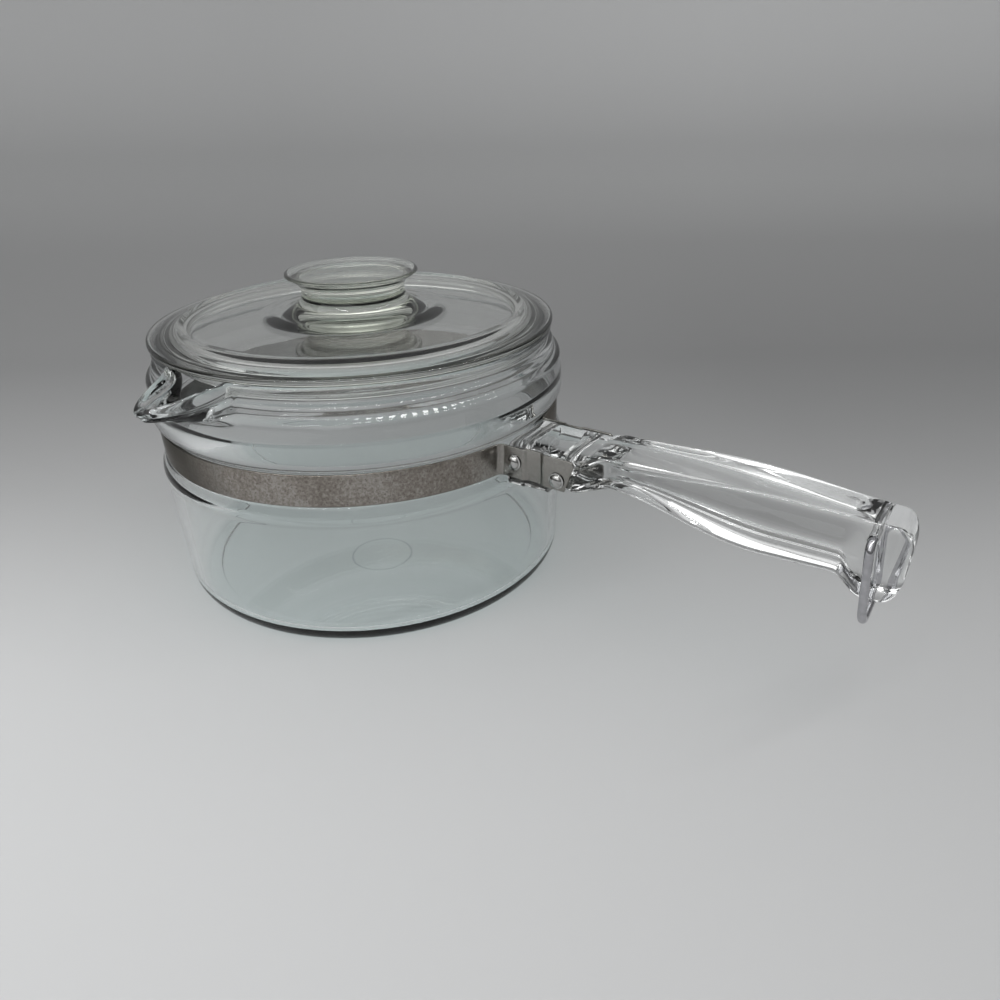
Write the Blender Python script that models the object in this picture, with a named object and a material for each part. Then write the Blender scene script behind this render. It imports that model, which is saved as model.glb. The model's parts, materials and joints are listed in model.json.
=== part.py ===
"""Glass saucepan: spouted pot, lift-off lid, and a glass handle held in a steel strap.

Metres, +Z up. The origin is the middle of the face that the pot stands on.
The handle runs out along +X and the pouring spout points along -Y.
"""

import math

import bmesh
import bpy
from mathutils import Matrix, Vector

# Gap left between neighbouring pieces
GAP = 0.0003

# Pot: the seat that the strap lies on sets its girth, and the other outer rounds stand out or in from it
STRAP_SEAT_RADIUS = 0.0813
HEEL_STAND = 0.0019
HEEL_ROUND = 0.0065
RIDGE_STAND = 0.0033
RIDGE_DROP = 0.0061
GROOVE_DEPTH = 0.0010
BULGE_STAND = 0.0030
BULGE_ROUND = 0.0048
BULGE_FACE = 0.0114
SHOULDER_STAND = 0.0021
SHOULDER_RISE = 0.0084
SHOULDER_ROUND = 0.0026
STEP_INSET = 0.0007
NECK_INSET = 0.0035
NECK_ROUND = 0.0015
RIM_INSET = 0.0018
RIM_RISE = 0.0046
RIM_ROUND = 0.0016
RIM_WIDTH = 0.0050
RIM_INNER_ROUND = 0.0010
WALL = 0.0038
BASE_THICKNESS = 0.0050
FLOOR_ROUND = 0.0060

# Pouring spout
SPOUT_REACH = 0.0212
SPOUT_DROP = 0.0053
SPOUT_LIP = 0.0042
SPOUT_HALF_ANGLE = math.radians(11.5)

# Strap round the pot, whose two ends are the ears beside the handle
STRAP_LOW = 0.0592
STRAP_WIDTH = 0.0121
STRAP_THICKNESS = 0.0009
EAR_SPREAD = 0.0140
EAR_LENGTH = 0.0298
EAR_SLANT = 0.33
EAR_BEND = 0.0030
EAR_CORNER = 0.0022
CHANNEL_START = 0.0119
CHANNEL_WIDTH = 0.0062
CHANNEL_DEPTH = 0.0010

# Rivets through the ears and the handle's tongue: the front one is set out from the strap's seat,
# the rear one in from the ears' ends, and both up from the strap's lower edge
RIVET_RADIUS = 0.0016
RIVET_HEAD_RADIUS = 0.0030
RIVET_HEAD_HEIGHT = 0.0017
FRONT_RIVET_OUT = 0.0059
FRONT_RIVET_UP = 0.0064
REAR_RIVET_INSET = 0.0050
REAR_RIVET_UP = 0.0038

# Glass handle: the tongue between the ears, then the grip; heights are up or down from the strap's lower edge
TONGUE_TOP_UP = 0.0133
TONGUE_DEEP_DOWN = 0.0046
TONGUE_DOWN = 0.0005
TONGUE_STEP_OUT = 0.0177
TONGUE_CREST_HALF_WIDTH = 0.0070
TONGUE_CREST_DROP = 0.0027
TONGUE_ROUND = 0.0015
SHOULDER_GAP = 0.0020
SHOULDER_STEP = 0.0006
HANDLE_OUT = 0.1347
GRIP_SHOULDER_HALF_WIDTH = 0.0143
GRIP_NECK_HALF_WIDTH = 0.0116
GRIP_PALM_HALF_WIDTH = 0.0128
GRIP_END_HALF_WIDTH = 0.0085
GRIP_SHOULDER_UP = 0.0150
GRIP_PALM_UP = 0.0178
GRIP_END_UP = 0.0153
GRIP_NECK_BOTTOM_UP = 0.0024
GRIP_PALM_DOWN = 0.0051
GRIP_END_DOWN = 0.0105
GRIP_TOP_ROUND = 0.0020
GRIP_SHOULDER_ROUND = 0.0045
GRIP_BOTTOM_ROUND = 0.0048
GRIP_FLARE = 0.0009

# Hanging ring, a wire bail in a cross hole near the handle's end
RING_WIRE_RADIUS = 0.0013
RING_HALF_WIDTH = 0.0122
RING_DROP = 0.0266
RING_BEND = 0.0046
RING_TIP_LENGTH = 0.0100
RING_SETBACK = 0.0105
RING_UP = 0.0100
RING_LEAN = math.radians(6.0)

# Lid: flange over the rim, skirt inside the mouth, knob in one with it
LID_OVERHANG = 0.0005
LID_EDGE = 0.0027
LID_EDGE_ROUND = 0.0011
LID_RISE = 0.0058
LID_FLANGE = 0.0125
LID_STEP_DROP = 0.0009
LID_PANEL = 0.0040
SKIRT_PLAY = 0.0009
SKIRT_THICKNESS = 0.0034
SKIRT_DEPTH = 0.0056
KNOB_BASE_RADIUS = 0.0315
KNOB_BASE_RISE = 0.0010
KNOB_WAIST_RADIUS = 0.0196
KNOB_WAIST_RISE = 0.0058
KNOB_RADIUS = 0.0251
KNOB_RISE = 0.0158
KNOB_EDGE = 0.0026
KNOB_DISH = 0.0014

# Facets
POT_COARSE_COLUMNS = 46
SPOUT_COLUMNS = 12
LID_COLUMNS = 48
STRAP_STEP = math.radians(6.0)
WIRE_SIDES = 10
HOLE_SIDES = 20
GRIP_SECTIONS = 19
SMOOTH_ANGLE = math.radians(32)

# Radii that follow from the sizes above
HEEL_RADIUS = STRAP_SEAT_RADIUS + HEEL_STAND
RIDGE_RADIUS = STRAP_SEAT_RADIUS + RIDGE_STAND
BULGE_RADIUS = STRAP_SEAT_RADIUS + BULGE_STAND
SHOULDER_RADIUS = STRAP_SEAT_RADIUS + SHOULDER_STAND
STEP_RADIUS = STRAP_SEAT_RADIUS - STEP_INSET
NECK_RADIUS = STRAP_SEAT_RADIUS - NECK_INSET
RIM_RADIUS = STRAP_SEAT_RADIUS - RIM_INSET
LID_RADIUS = RIM_RADIUS + LID_OVERHANG
LID_STEP_RADIUS = LID_RADIUS - LID_FLANGE
STRAP_INNER_RADIUS = STRAP_SEAT_RADIUS + GAP

# Heights that follow
GROOVE_BOTTOM = STRAP_LOW - GAP
GROOVE_TOP = STRAP_LOW + STRAP_WIDTH + GAP
BULGE_HEIGHT = GROOVE_TOP + BULGE_ROUND
SHOULDER_HEIGHT = BULGE_HEIGHT + BULGE_FACE
NECK_HEIGHT = SHOULDER_HEIGHT + SHOULDER_RISE
RIM_HEIGHT = NECK_HEIGHT + RIM_RISE
LID_HEIGHT = RIM_HEIGHT + GAP
STRAP_MIDDLE = STRAP_LOW + STRAP_WIDTH / 2
TONGUE_TOP = STRAP_LOW + TONGUE_TOP_UP
TONGUE_BOTTOM = STRAP_LOW - TONGUE_DOWN
GRIP_END_TOP = STRAP_LOW + GRIP_END_UP
GRIP_END_BOTTOM = STRAP_LOW - GRIP_END_DOWN
RING_HEIGHT = STRAP_LOW + RING_UP

# Places along the handle that follow
STRAP_MIDDLE_RADIUS = STRAP_INNER_RADIUS + STRAP_THICKNESS / 2
EAR_LINE = EAR_SPREAD + STRAP_THICKNESS / 2
EAR_BEND_Y = EAR_LINE + EAR_BEND
EAR_BEND_X = math.sqrt((STRAP_MIDDLE_RADIUS + EAR_BEND) ** 2 - EAR_BEND_Y ** 2)
EAR_START = EAR_BEND_X - EAR_BEND
EAR_END = EAR_START + EAR_LENGTH
TONGUE_STEP_X = STRAP_SEAT_RADIUS + TONGUE_STEP_OUT
HANDLE_REACH = STRAP_SEAT_RADIUS + HANDLE_OUT
RING_X = HANDLE_REACH - RING_SETBACK
FRONT_RIVET_X = STRAP_SEAT_RADIUS + FRONT_RIVET_OUT
REAR_RIVET_X = EAR_END - REAR_RIVET_INSET
RIVET_PLACES = (
    ("front_rivet", FRONT_RIVET_X, STRAP_LOW + FRONT_RIVET_UP),
    ("rear_rivet", REAR_RIVET_X, STRAP_LOW + REAR_RIVET_UP),
)


def clear_scene():
    """Remove every object that the file opened with."""
    for old in list(bpy.data.objects):
        bpy.data.objects.remove(old, do_unlink=True)


def finish_material(name, colour, roughness, metallic, transmission=0.0):
    """A Principled material in the colour, gloss and metal of one piece."""
    material = bpy.data.materials.new(name)
    material.use_nodes = True
    shader = material.node_tree.nodes["Principled BSDF"]
    shader.inputs["Base Color"].default_value = (*colour, 1.0)
    shader.inputs["Roughness"].default_value = roughness
    shader.inputs["Metallic"].default_value = metallic
    shader.inputs["Transmission Weight"].default_value = transmission
    shader.inputs["IOR"].default_value = 1.47
    return material


def arc(centre, radii, start, end, count):
    """Points on an ellipse's arc, from start to end in degrees."""
    points = []
    for step in range(count):
        angle = math.radians(start + (end - start) * step / (count - 1))
        points.append((centre[0] + radii[0] * math.cos(angle), centre[1] + radii[1] * math.sin(angle)))
    return points


def smooth(share):
    """Ease from 0 to 1 with level ends."""
    share = min(1.0, max(0.0, share))
    return share * share * (3.0 - 2.0 * share)


def through(keys, place):
    """Read a smooth curve that passes level through each (place, value) key."""
    if place <= keys[0][0]:
        return keys[0][1]
    for (start, low), (end, high) in zip(keys, keys[1:]):
        if place <= end:
            return low + (high - low) * smooth((place - start) / (end - start))
    return keys[-1][1]


def skin(name, rings, material):
    """Join successive rings of points into one closed body with flat ends."""
    mesh = bmesh.new()
    loops = []
    for ring in rings:
        loops.append([mesh.verts.new(point) for point in ring])
    mesh.faces.new(loops[0])
    mesh.faces.new(loops[-1])
    for near, far in zip(loops, loops[1:]):
        count = len(near)
        for index in range(count):
            after = (index + 1) % count
            mesh.faces.new((near[index], near[after], far[after], far[index]))
    bmesh.ops.recalc_face_normals(mesh, faces=mesh.faces[:])
    data = bpy.data.meshes.new(name)
    mesh.to_mesh(data)
    mesh.free()
    data.materials.append(material)
    data.shade_smooth()
    data.set_sharp_from_angle(angle=SMOOTH_ANGLE)
    body = bpy.data.objects.new(name, data)
    bpy.context.collection.objects.link(body)
    return body


def turned(profile, columns, at=(0.0, 0.0, 0.0), axis="Z"):
    """Rings of a turned shape: one ring round the axis for each (radius, height) of the profile."""
    rings = []
    for radius, height in profile:
        ring = []
        for column in range(columns):
            angle = 2 * math.pi * column / columns
            point = Vector((radius * math.cos(angle), radius * math.sin(angle), height))
            if axis == "Y":
                point = Vector((point.x, point.z, -point.y))
            ring.append(point + Vector(at))
        rings.append(ring)
    return rings


def cut(body, rings):
    """Take a closed shape out of a body."""
    cutter = skin(body.name + "_cutter", rings, body.data.materials[0])
    cutter.hide_render = True
    cutter.display_type = "WIRE"
    hole = body.modifiers.new("cut", "BOOLEAN")
    hole.operation = "DIFFERENCE"
    hole.solver = "EXACT"
    hole.object = cutter


def drill(body, radius, at, length):
    """Cut a hole along Y through a body, centred on a point."""
    ends = [(radius, -length / 2), (radius, length / 2)]
    cut(body, turned(ends, HOLE_SIDES, at, "Y"))


def pot_rows():
    """The pot's section as pairs of points: away from the spout, and on the spout's centre line."""
    heel = arc((HEEL_RADIUS - HEEL_ROUND, HEEL_ROUND), (HEEL_ROUND, HEEL_ROUND), -90, 0, 6)
    ridge_height = STRAP_LOW - RIDGE_DROP
    ledge = STRAP_SEAT_RADIUS + GROOVE_DEPTH
    ridge = [
        (RIDGE_RADIUS - 0.25 * GROOVE_DEPTH, ridge_height - 1.4 * GROOVE_DEPTH),
        (RIDGE_RADIUS, ridge_height),
        (RIDGE_RADIUS - 0.3 * GROOVE_DEPTH, ridge_height + 1.4 * GROOVE_DEPTH),
        (ledge, GROOVE_BOTTOM),
    ]
    groove = [(STRAP_SEAT_RADIUS, GROOVE_BOTTOM), (STRAP_SEAT_RADIUS, GROOVE_TOP)]
    lip_centre = (BULGE_RADIUS - BULGE_ROUND, BULGE_HEIGHT)
    bulge = arc(lip_centre, (BULGE_ROUND, BULGE_ROUND), -55, 0, 4)
    face = [
        (BULGE_RADIUS - 0.3 * (BULGE_RADIUS - SHOULDER_RADIUS), BULGE_HEIGHT + 0.45 * BULGE_FACE),
        (SHOULDER_RADIUS + 0.25 * (BULGE_RADIUS - SHOULDER_RADIUS), BULGE_HEIGHT + 0.8 * BULGE_FACE),
    ]
    rows = [(point, point) for point in heel + ridge + groove + bulge + face]

    tip = RIM_RADIUS + SPOUT_REACH
    tip_height = RIM_HEIGHT - SPOUT_DROP
    upper_centre = (SHOULDER_RADIUS - SHOULDER_ROUND, SHOULDER_HEIGHT)
    upper = arc(upper_centre, (SHOULDER_ROUND, SHOULDER_ROUND), 0, 56, 3)
    step_height = SHOULDER_HEIGHT + 0.58 * SHOULDER_RISE
    step_centre = (STEP_RADIUS - SHOULDER_ROUND, step_height)
    steps = [(STEP_RADIUS, SHOULDER_HEIGHT + 0.42 * SHOULDER_RISE)]
    steps += arc(step_centre, (SHOULDER_ROUND, 0.9 * SHOULDER_ROUND), 20, 72, 3)
    neck = arc((NECK_RADIUS + NECK_ROUND, NECK_HEIGHT), (NECK_ROUND, NECK_ROUND), 235, 125, 3)
    outer = upper + steps + neck
    under = arc((SHOULDER_RADIUS, tip_height), (tip - SHOULDER_RADIUS, tip_height - SHOULDER_HEIGHT),
                -88, -26, len(outer))
    rows += list(zip(outer, under))

    bead = arc((RIM_RADIUS - RIM_ROUND, RIM_HEIGHT - RIM_ROUND), (RIM_ROUND, RIM_ROUND), -25, 90, 4)
    inner_rim = RIM_RADIUS - RIM_WIDTH
    inner_centre = (inner_rim + RIM_INNER_ROUND, RIM_HEIGHT - RIM_INNER_ROUND)
    bead += arc(inner_centre, (RIM_INNER_ROUND, RIM_INNER_ROUND), 90, 180, 3)
    lip = arc((tip - SPOUT_LIP / 2, tip_height - RIM_ROUND), (SPOUT_LIP / 2, RIM_ROUND), -10, 195, len(bead))
    rows += list(zip(bead, lip))

    inside_shoulder = SHOULDER_RADIUS - WALL
    throat = [
        (inner_rim, NECK_HEIGHT),
        (inner_rim + 0.20 * (inside_shoulder - inner_rim), SHOULDER_HEIGHT + 0.70 * SHOULDER_RISE),
        (inner_rim + 0.62 * (inside_shoulder - inner_rim), SHOULDER_HEIGHT + 0.34 * SHOULDER_RISE),
        (inside_shoulder, SHOULDER_HEIGHT - 0.10 * SHOULDER_RISE),
    ]
    trough_end = tip - SPOUT_LIP
    trough = [
        (trough_end - 0.15 * SPOUT_REACH, tip_height - 0.60 * WALL),
        (trough_end - 0.42 * SPOUT_REACH, tip_height - 0.95 * WALL),
        (inside_shoulder + 0.10 * SPOUT_REACH, SHOULDER_HEIGHT + 0.95 * WALL),
        (inside_shoulder, SHOULDER_HEIGHT + 0.1 * SHOULDER_RISE),
    ]
    rows += list(zip(throat, trough))

    inside = [
        (BULGE_RADIUS - WALL, BULGE_HEIGHT + 0.25 * BULGE_FACE),
        (BULGE_RADIUS - WALL, BULGE_HEIGHT),
        (STRAP_SEAT_RADIUS - WALL, GROOVE_TOP - 0.12 * STRAP_WIDTH),
        (STRAP_SEAT_RADIUS - WALL, GROOVE_BOTTOM + 0.12 * STRAP_WIDTH),
        (RIDGE_RADIUS - WALL, ridge_height),
    ]
    floor_centre = (HEEL_RADIUS - WALL - FLOOR_ROUND, BASE_THICKNESS + FLOOR_ROUND)
    inside += arc(floor_centre, (FLOOR_ROUND, FLOOR_ROUND), 0, -90, 4)
    rows += [(point, point) for point in inside]
    return rows


def spout_share(angle):
    """How much of the spout shows at an angle round the pot: 1 on its centre line, 0 beside it."""
    away = abs(angle + math.pi / 2)
    if away >= SPOUT_HALF_ANGLE:
        return 0.0
    return math.cos(math.pi * away / (2 * SPOUT_HALF_ANGLE)) ** 2


def make_pot(material):
    """The pot: its section carried round the axis, drawn out into the spout at -Y."""
    angles = []
    for column in range(SPOUT_COLUMNS):
        share = column / SPOUT_COLUMNS
        angles.append(-math.pi / 2 + SPOUT_HALF_ANGLE * (2 * share - 1))
    rest = 2 * math.pi - 2 * SPOUT_HALF_ANGLE
    for column in range(POT_COARSE_COLUMNS):
        angles.append(-math.pi / 2 + SPOUT_HALF_ANGLE + rest * column / POT_COARSE_COLUMNS)
    rings = []
    for plain, drawn in pot_rows():
        ring = []
        for angle in angles:
            share = spout_share(angle)
            radius = plain[0] + (drawn[0] - plain[0]) * share
            height = plain[1] + (drawn[1] - plain[1]) * share
            ring.append((radius * math.cos(angle), radius * math.sin(angle), height))
        rings.append(ring)
    return skin("pot", rings, material)


def make_lid(material):
    """The lid, turned in one piece with its knob: from the knob's dish down, under and back in."""
    panel_top = LID_HEIGHT + LID_RISE - LID_STEP_DROP
    knob_top = panel_top + KNOB_RISE
    waist_height = panel_top + KNOB_WAIST_RISE
    profile = [
        (0.45 * KNOB_RADIUS, knob_top - KNOB_DISH),
        (0.80 * KNOB_RADIUS, knob_top - 0.8 * KNOB_DISH),
        (0.90 * KNOB_RADIUS, knob_top),
    ]
    edge = KNOB_EDGE / 2
    profile += arc((KNOB_RADIUS - edge, knob_top - edge), (edge, edge), 75, -75, 5)
    waist_high = knob_top - KNOB_EDGE - waist_height
    profile += arc((KNOB_RADIUS - edge, waist_height), (KNOB_RADIUS - edge - KNOB_WAIST_RADIUS, waist_high),
                   110, 180, 4)
    base_height = panel_top + KNOB_BASE_RISE
    profile += arc((KNOB_BASE_RADIUS, waist_height), (KNOB_BASE_RADIUS - KNOB_WAIST_RADIUS, waist_height - base_height),
                   195, 255, 4)
    profile += [
        (KNOB_BASE_RADIUS, base_height),
        (KNOB_BASE_RADIUS + KNOB_BASE_RISE, panel_top),
        (LID_STEP_RADIUS - LID_STEP_DROP, panel_top),
        (LID_STEP_RADIUS, panel_top + LID_STEP_DROP),
    ]
    edge_top = LID_HEIGHT + LID_EDGE
    corner = LID_RADIUS - LID_EDGE_ROUND
    for share in (0.15, 0.4, 0.7):
        radius = LID_STEP_RADIUS + share * (corner - LID_STEP_RADIUS)
        fall = math.sin(0.5 * math.pi * share)
        profile.append((radius, panel_top + LID_STEP_DROP - fall * (panel_top + LID_STEP_DROP - edge_top)))
    profile += arc((corner, edge_top - LID_EDGE_ROUND), (LID_EDGE_ROUND, LID_EDGE_ROUND), 90, 0, 3)
    profile += [
        (LID_RADIUS, LID_HEIGHT + 0.25 * LID_EDGE),
        (LID_RADIUS - 0.25 * LID_EDGE, LID_HEIGHT),
    ]
    skirt = RIM_RADIUS - RIM_WIDTH - SKIRT_PLAY
    skirt_bottom = LID_HEIGHT - SKIRT_DEPTH
    round_end = SKIRT_THICKNESS / 2
    profile += [(skirt + SKIRT_PLAY, LID_HEIGHT), (skirt, LID_HEIGHT - SKIRT_PLAY)]
    profile += arc((skirt - round_end, skirt_bottom + round_end), (round_end, round_end), 0, -180, 5)
    panel_bottom = panel_top - LID_PANEL
    profile += [
        (skirt - SKIRT_THICKNESS - 0.5 * LID_STEP_DROP, panel_bottom - LID_STEP_DROP),
        (skirt - SKIRT_THICKNESS - 2.0 * LID_STEP_DROP, panel_bottom),
    ]
    return skin("lid", turned(profile, LID_COLUMNS), material)


def strap_path():
    """Middle line of the strap seen from above, as (x, y, place) from the -Y ear round to the +Y ear.

    The place is the distance along an ear from its bend, or 0 on the pot itself.
    """
    leave = math.atan2(EAR_BEND_Y, EAR_BEND_X)
    ear = []
    slope = 0.8 * CHANNEL_DEPTH
    for place, inset in (
        (0.4 * CHANNEL_START, 0.0),
        (CHANNEL_START - slope, 0.0),
        (CHANNEL_START, CHANNEL_DEPTH),
        (CHANNEL_START + CHANNEL_WIDTH, CHANNEL_DEPTH),
        (CHANNEL_START + CHANNEL_WIDTH + slope, 0.0),
        (EAR_LENGTH - EAR_CORNER, 0.0),
        (EAR_LENGTH - 0.6 * EAR_CORNER, 0.0),
        (EAR_LENGTH - 0.2 * EAR_CORNER, 0.0),
        (EAR_LENGTH, 0.0),
    ):
        ear.append((EAR_START + place, EAR_LINE - inset, place))
    bend = []
    turn = 90 - math.degrees(leave)
    for x, y in arc((EAR_BEND_X, -EAR_BEND_Y), (EAR_BEND, EAR_BEND), 90, 90 + turn, 5):
        bend.append((x, y, 0.0))
    path = [(x, -y, place) for x, y, place in reversed(ear)] + bend
    span = 2 * math.pi - 2 * leave
    steps = round(span / STRAP_STEP)
    for step in range(1, steps):
        angle = -leave - span * step / steps
        path.append((STRAP_MIDDLE_RADIUS * math.cos(angle), STRAP_MIDDLE_RADIUS * math.sin(angle), 0.0))
    path += [(x, -y, 0.0) for x, y, place in reversed(bend)]
    path += ear
    return path


def make_strap(material):
    """The steel strap: a flat strip round the pot whose ends stand out as ears beside the handle."""
    path = strap_path()
    rings = []
    last = len(path) - 1
    for index, (x, y, place) in enumerate(path):
        before = Vector(path[max(index - 1, 0)][:2])
        after = Vector(path[min(index + 1, last)][:2])
        along = (after - before).normalized()
        aside = Vector((along.y, -along.x)) * STRAP_THICKNESS / 2
        ease = smooth((place - CHANNEL_START - CHANNEL_WIDTH) / (EAR_LENGTH - CHANNEL_START - CHANNEL_WIDTH))
        slant = EAR_SLANT * ease
        short = max(0.0, place - (EAR_LENGTH - EAR_CORNER))
        corner = EAR_CORNER - math.sqrt(max(0.0, EAR_CORNER ** 2 - short ** 2))
        top = STRAP_LOW + STRAP_WIDTH - min(corner, 0.9 * EAR_CORNER)
        ring = []
        for side, height in ((-1, STRAP_LOW), (1, STRAP_LOW), (1, top), (-1, top)):
            lean = slant * (height - STRAP_MIDDLE)
            ring.append((x + side * aside.x + lean, y + side * aside.y, height))
        rings.append(ring)
    strap = skin("strap", rings, material)
    across = 2 * (EAR_SPREAD + STRAP_THICKNESS) + 4 * RIVET_HEAD_HEIGHT
    for rivet, x, z in RIVET_PLACES:
        drill(strap, RIVET_RADIUS + GAP, (x, 0.0, z), across)
    return strap


def handle_section(bottom, top, half_top, half_bottom, top_round, bottom_round):
    """Outline of the handle across its length, as (y, z) points round it."""
    right = [(0.0, top)]
    right += arc((half_top - top_round[0], top - top_round[1]), top_round, 90, 0, 4)
    right += arc((half_bottom - bottom_round, bottom + bottom_round), (bottom_round, bottom_round), 0, -90, 5)
    left = [(-y, z) for y, z in reversed(right[1:])]
    return right + [(0.0, bottom)] + left


def tongue_sections():
    """Sections of the part between the ears, as (x, slant, outline)."""
    side = EAR_SPREAD - GAP
    waist = side - CHANNEL_DEPTH
    channel = EAR_START + CHANNEL_START
    room = 1.5 * CHANNEL_DEPTH + GAP
    end = EAR_END + SHOULDER_GAP
    deep = STRAP_LOW - TONGUE_DEEP_DOWN
    shallow = TONGUE_BOTTOM
    sections = []
    for x, width, bottom, slant in (
        (RIDGE_RADIUS - 0.1 * EAR_LENGTH, side, deep, 0.0),
        (channel - room - CHANNEL_DEPTH, side, deep, 0.0),
        (channel - room, waist, deep, 0.0),
        (TONGUE_STEP_X, waist, deep, 0.0),
        (TONGUE_STEP_X + 0.25 * (shallow - deep), waist, shallow, 0.0),
        (channel + CHANNEL_WIDTH + room, waist, shallow, 0.0),
        (channel + CHANNEL_WIDTH + room + CHANNEL_DEPTH, side, shallow, 0.0),
        (REAR_RIVET_X + 2 * RIVET_RADIUS, side, shallow, 0.4 * EAR_SLANT),
        (end - SHOULDER_STEP, side, shallow, EAR_SLANT),
    ):
        crest = (width - TONGUE_CREST_HALF_WIDTH, TONGUE_CREST_DROP)
        outline = handle_section(bottom, TONGUE_TOP, width, width, crest, TONGUE_ROUND)
        sections.append((x, slant, outline))
    return sections, end


def grip_sections(start):
    """Sections of the grip from its shoulder to its rounded end, as (x, slant, outline)."""
    length = HANDLE_REACH - start
    side_keys = (
        (start, GRIP_SHOULDER_HALF_WIDTH),
        (start + 0.12 * length, GRIP_NECK_HALF_WIDTH),
        (start + 0.40 * length, GRIP_PALM_HALF_WIDTH),
        (HANDLE_REACH, GRIP_END_HALF_WIDTH),
    )
    top_keys = (
        (start, STRAP_LOW + GRIP_SHOULDER_UP),
        (start + 0.55 * length, STRAP_LOW + GRIP_PALM_UP),
        (HANDLE_REACH, GRIP_END_TOP),
    )
    recess = RING_X - 0.085 * length
    palm_bottom = STRAP_LOW - GRIP_PALM_DOWN
    bottom_keys = (
        (start, TONGUE_BOTTOM),
        (start + 0.12 * length, STRAP_LOW + GRIP_NECK_BOTTOM_UP),
        (start + 0.62 * length, palm_bottom),
        (recess, palm_bottom),
        (RING_X, GRIP_END_BOTTOM),
    )
    sections = []
    cap = 0.6 * GRIP_END_HALF_WIDTH
    body = length - cap
    for step in range(GRIP_SECTIONS):
        share = step / (GRIP_SECTIONS - 1)
        x = start + body * share
        half = through(side_keys, x)
        top = through(top_keys, x)
        bottom = through(bottom_keys, x)
        slant = EAR_SLANT * (1.0 - smooth((x - start) / (0.16 * length)))
        if step == 0:
            top = 0.5 * (top + TONGUE_TOP)
        half_top = half - GRIP_FLARE
        near = 1.0 - smooth((x - start) / (0.10 * length))
        round_top = GRIP_TOP_ROUND + near * (GRIP_SHOULDER_ROUND - GRIP_TOP_ROUND)
        outline = handle_section(bottom, top, half_top, half, (round_top, round_top), GRIP_BOTTOM_ROUND)
        sections.append((x, slant, outline))
    middle = 0.5 * (GRIP_END_TOP + GRIP_END_BOTTOM)
    last = sections[-1][2]
    for turn in (30, 55, 75):
        angle = math.radians(turn)
        shrink = 0.35 + 0.65 * math.cos(angle)
        outline = [(y * shrink, middle + (z - middle) * shrink) for y, z in last]
        sections.append((start + body + cap * math.sin(angle), 0.0, outline))
    return sections


def make_handle(material):
    """The glass handle: its tongue is hollowed to the pot's round and drilled for the rivets."""
    tongue, start = tongue_sections()
    rings = []
    for x, slant, outline in tongue + grip_sections(start):
        rings.append([(x + slant * (z - STRAP_MIDDLE), y, z) for y, z in outline])
    handle = skin("handle", rings, material)
    front = max(RIDGE_RADIUS, BULGE_RADIUS) + GAP
    cut(handle, turned([(front, 0.0), (front, RIM_HEIGHT)], 2 * LID_COLUMNS))
    across = 4 * GRIP_PALM_HALF_WIDTH
    for rivet, x, z in RIVET_PLACES:
        drill(handle, RIVET_RADIUS + GAP, (x, 0.0, z), across)
    drill(handle, RING_WIRE_RADIUS + GAP, (RING_X, 0.0, RING_HEIGHT), across)
    return handle


def make_rivet(name, x, z, material):
    """A rivet across the handle, with a domed head outside each ear."""
    seat = EAR_SPREAD + STRAP_THICKNESS + GAP
    head = arc((0.0, seat), (RIVET_HEAD_RADIUS, RIVET_HEAD_HEIGHT), 82, 12, 5)
    half = head + [(RIVET_HEAD_RADIUS, seat), (RIVET_RADIUS, seat)]
    profile = half + [(radius, -height) for radius, height in reversed(half)]
    rivet = skin(name, turned(profile, HOLE_SIDES, (0.0, 0.0, 0.0), "Y"), material)
    rivet.location = (x, 0.0, z)
    return rivet


def make_ring(material):
    """The hanging ring: a wire bail whose turned-in tips lie in the handle's cross hole."""
    middle = []
    tip = RING_HALF_WIDTH - RING_TIP_LENGTH
    top_bend = 0.6 * RING_BEND
    middle.append((tip, 0.0))
    middle.append((tip + 0.5 * (RING_HALF_WIDTH - top_bend - tip), 0.0))
    middle += arc((RING_HALF_WIDTH - top_bend, -top_bend), (top_bend, top_bend), 90, 0, 5)
    middle += arc((RING_HALF_WIDTH - RING_BEND, -RING_DROP + RING_BEND), (RING_BEND, RING_BEND), 0, -90, 6)
    middle += [(-y, z) for y, z in reversed(middle)]
    lean = Matrix.Rotation(-RING_LEAN, 3, "Y")
    rings = []
    last = len(middle) - 1
    for index, (y, z) in enumerate(middle):
        before = Vector(middle[max(index - 1, 0)])
        after = Vector(middle[min(index + 1, last)])
        along = (after - before).normalized()
        aside = Vector((-along.y, along.x))
        ring = []
        for side in range(WIRE_SIDES):
            angle = 2 * math.pi * side / WIRE_SIDES
            out = RING_WIRE_RADIUS * math.sin(angle)
            point = Vector((RING_WIRE_RADIUS * math.cos(angle), y + out * aside.x, z + out * aside.y))
            ring.append(lean @ point)
        rings.append(ring)
    ring_body = skin("hanging_ring", rings, material)
    pivot = bpy.data.objects.new("ring_pivot", None)
    pivot.location = (RING_X, 0.0, RING_HEIGHT)
    bpy.context.collection.objects.link(pivot)
    ring_body.parent = pivot
    return ring_body


def main():
    clear_scene()
    pot_glass = finish_material("pot_glass", (0.84, 0.90, 0.89), 0.03, 0.0, 0.9)
    lid_glass = finish_material("lid_glass", (0.87, 0.90, 0.83), 0.03, 0.0, 0.9)
    handle_glass = finish_material("handle_glass", (0.94, 0.95, 0.95), 0.02, 0.0, 0.9)
    strap_steel = finish_material("strap_steel", (0.42, 0.38, 0.35), 0.38, 1.0)
    rivet_steel = finish_material("rivet_steel", (0.62, 0.61, 0.60), 0.22, 1.0)
    ring_chrome = finish_material("ring_chrome", (0.70, 0.70, 0.72), 0.12, 1.0)
    make_pot(pot_glass)
    make_lid(lid_glass)
    make_strap(strap_steel)
    make_handle(handle_glass)
    for name, x, z in RIVET_PLACES:
        make_rivet(name, x, z, rivet_steel)
    make_ring(ring_chrome)


main()
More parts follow.
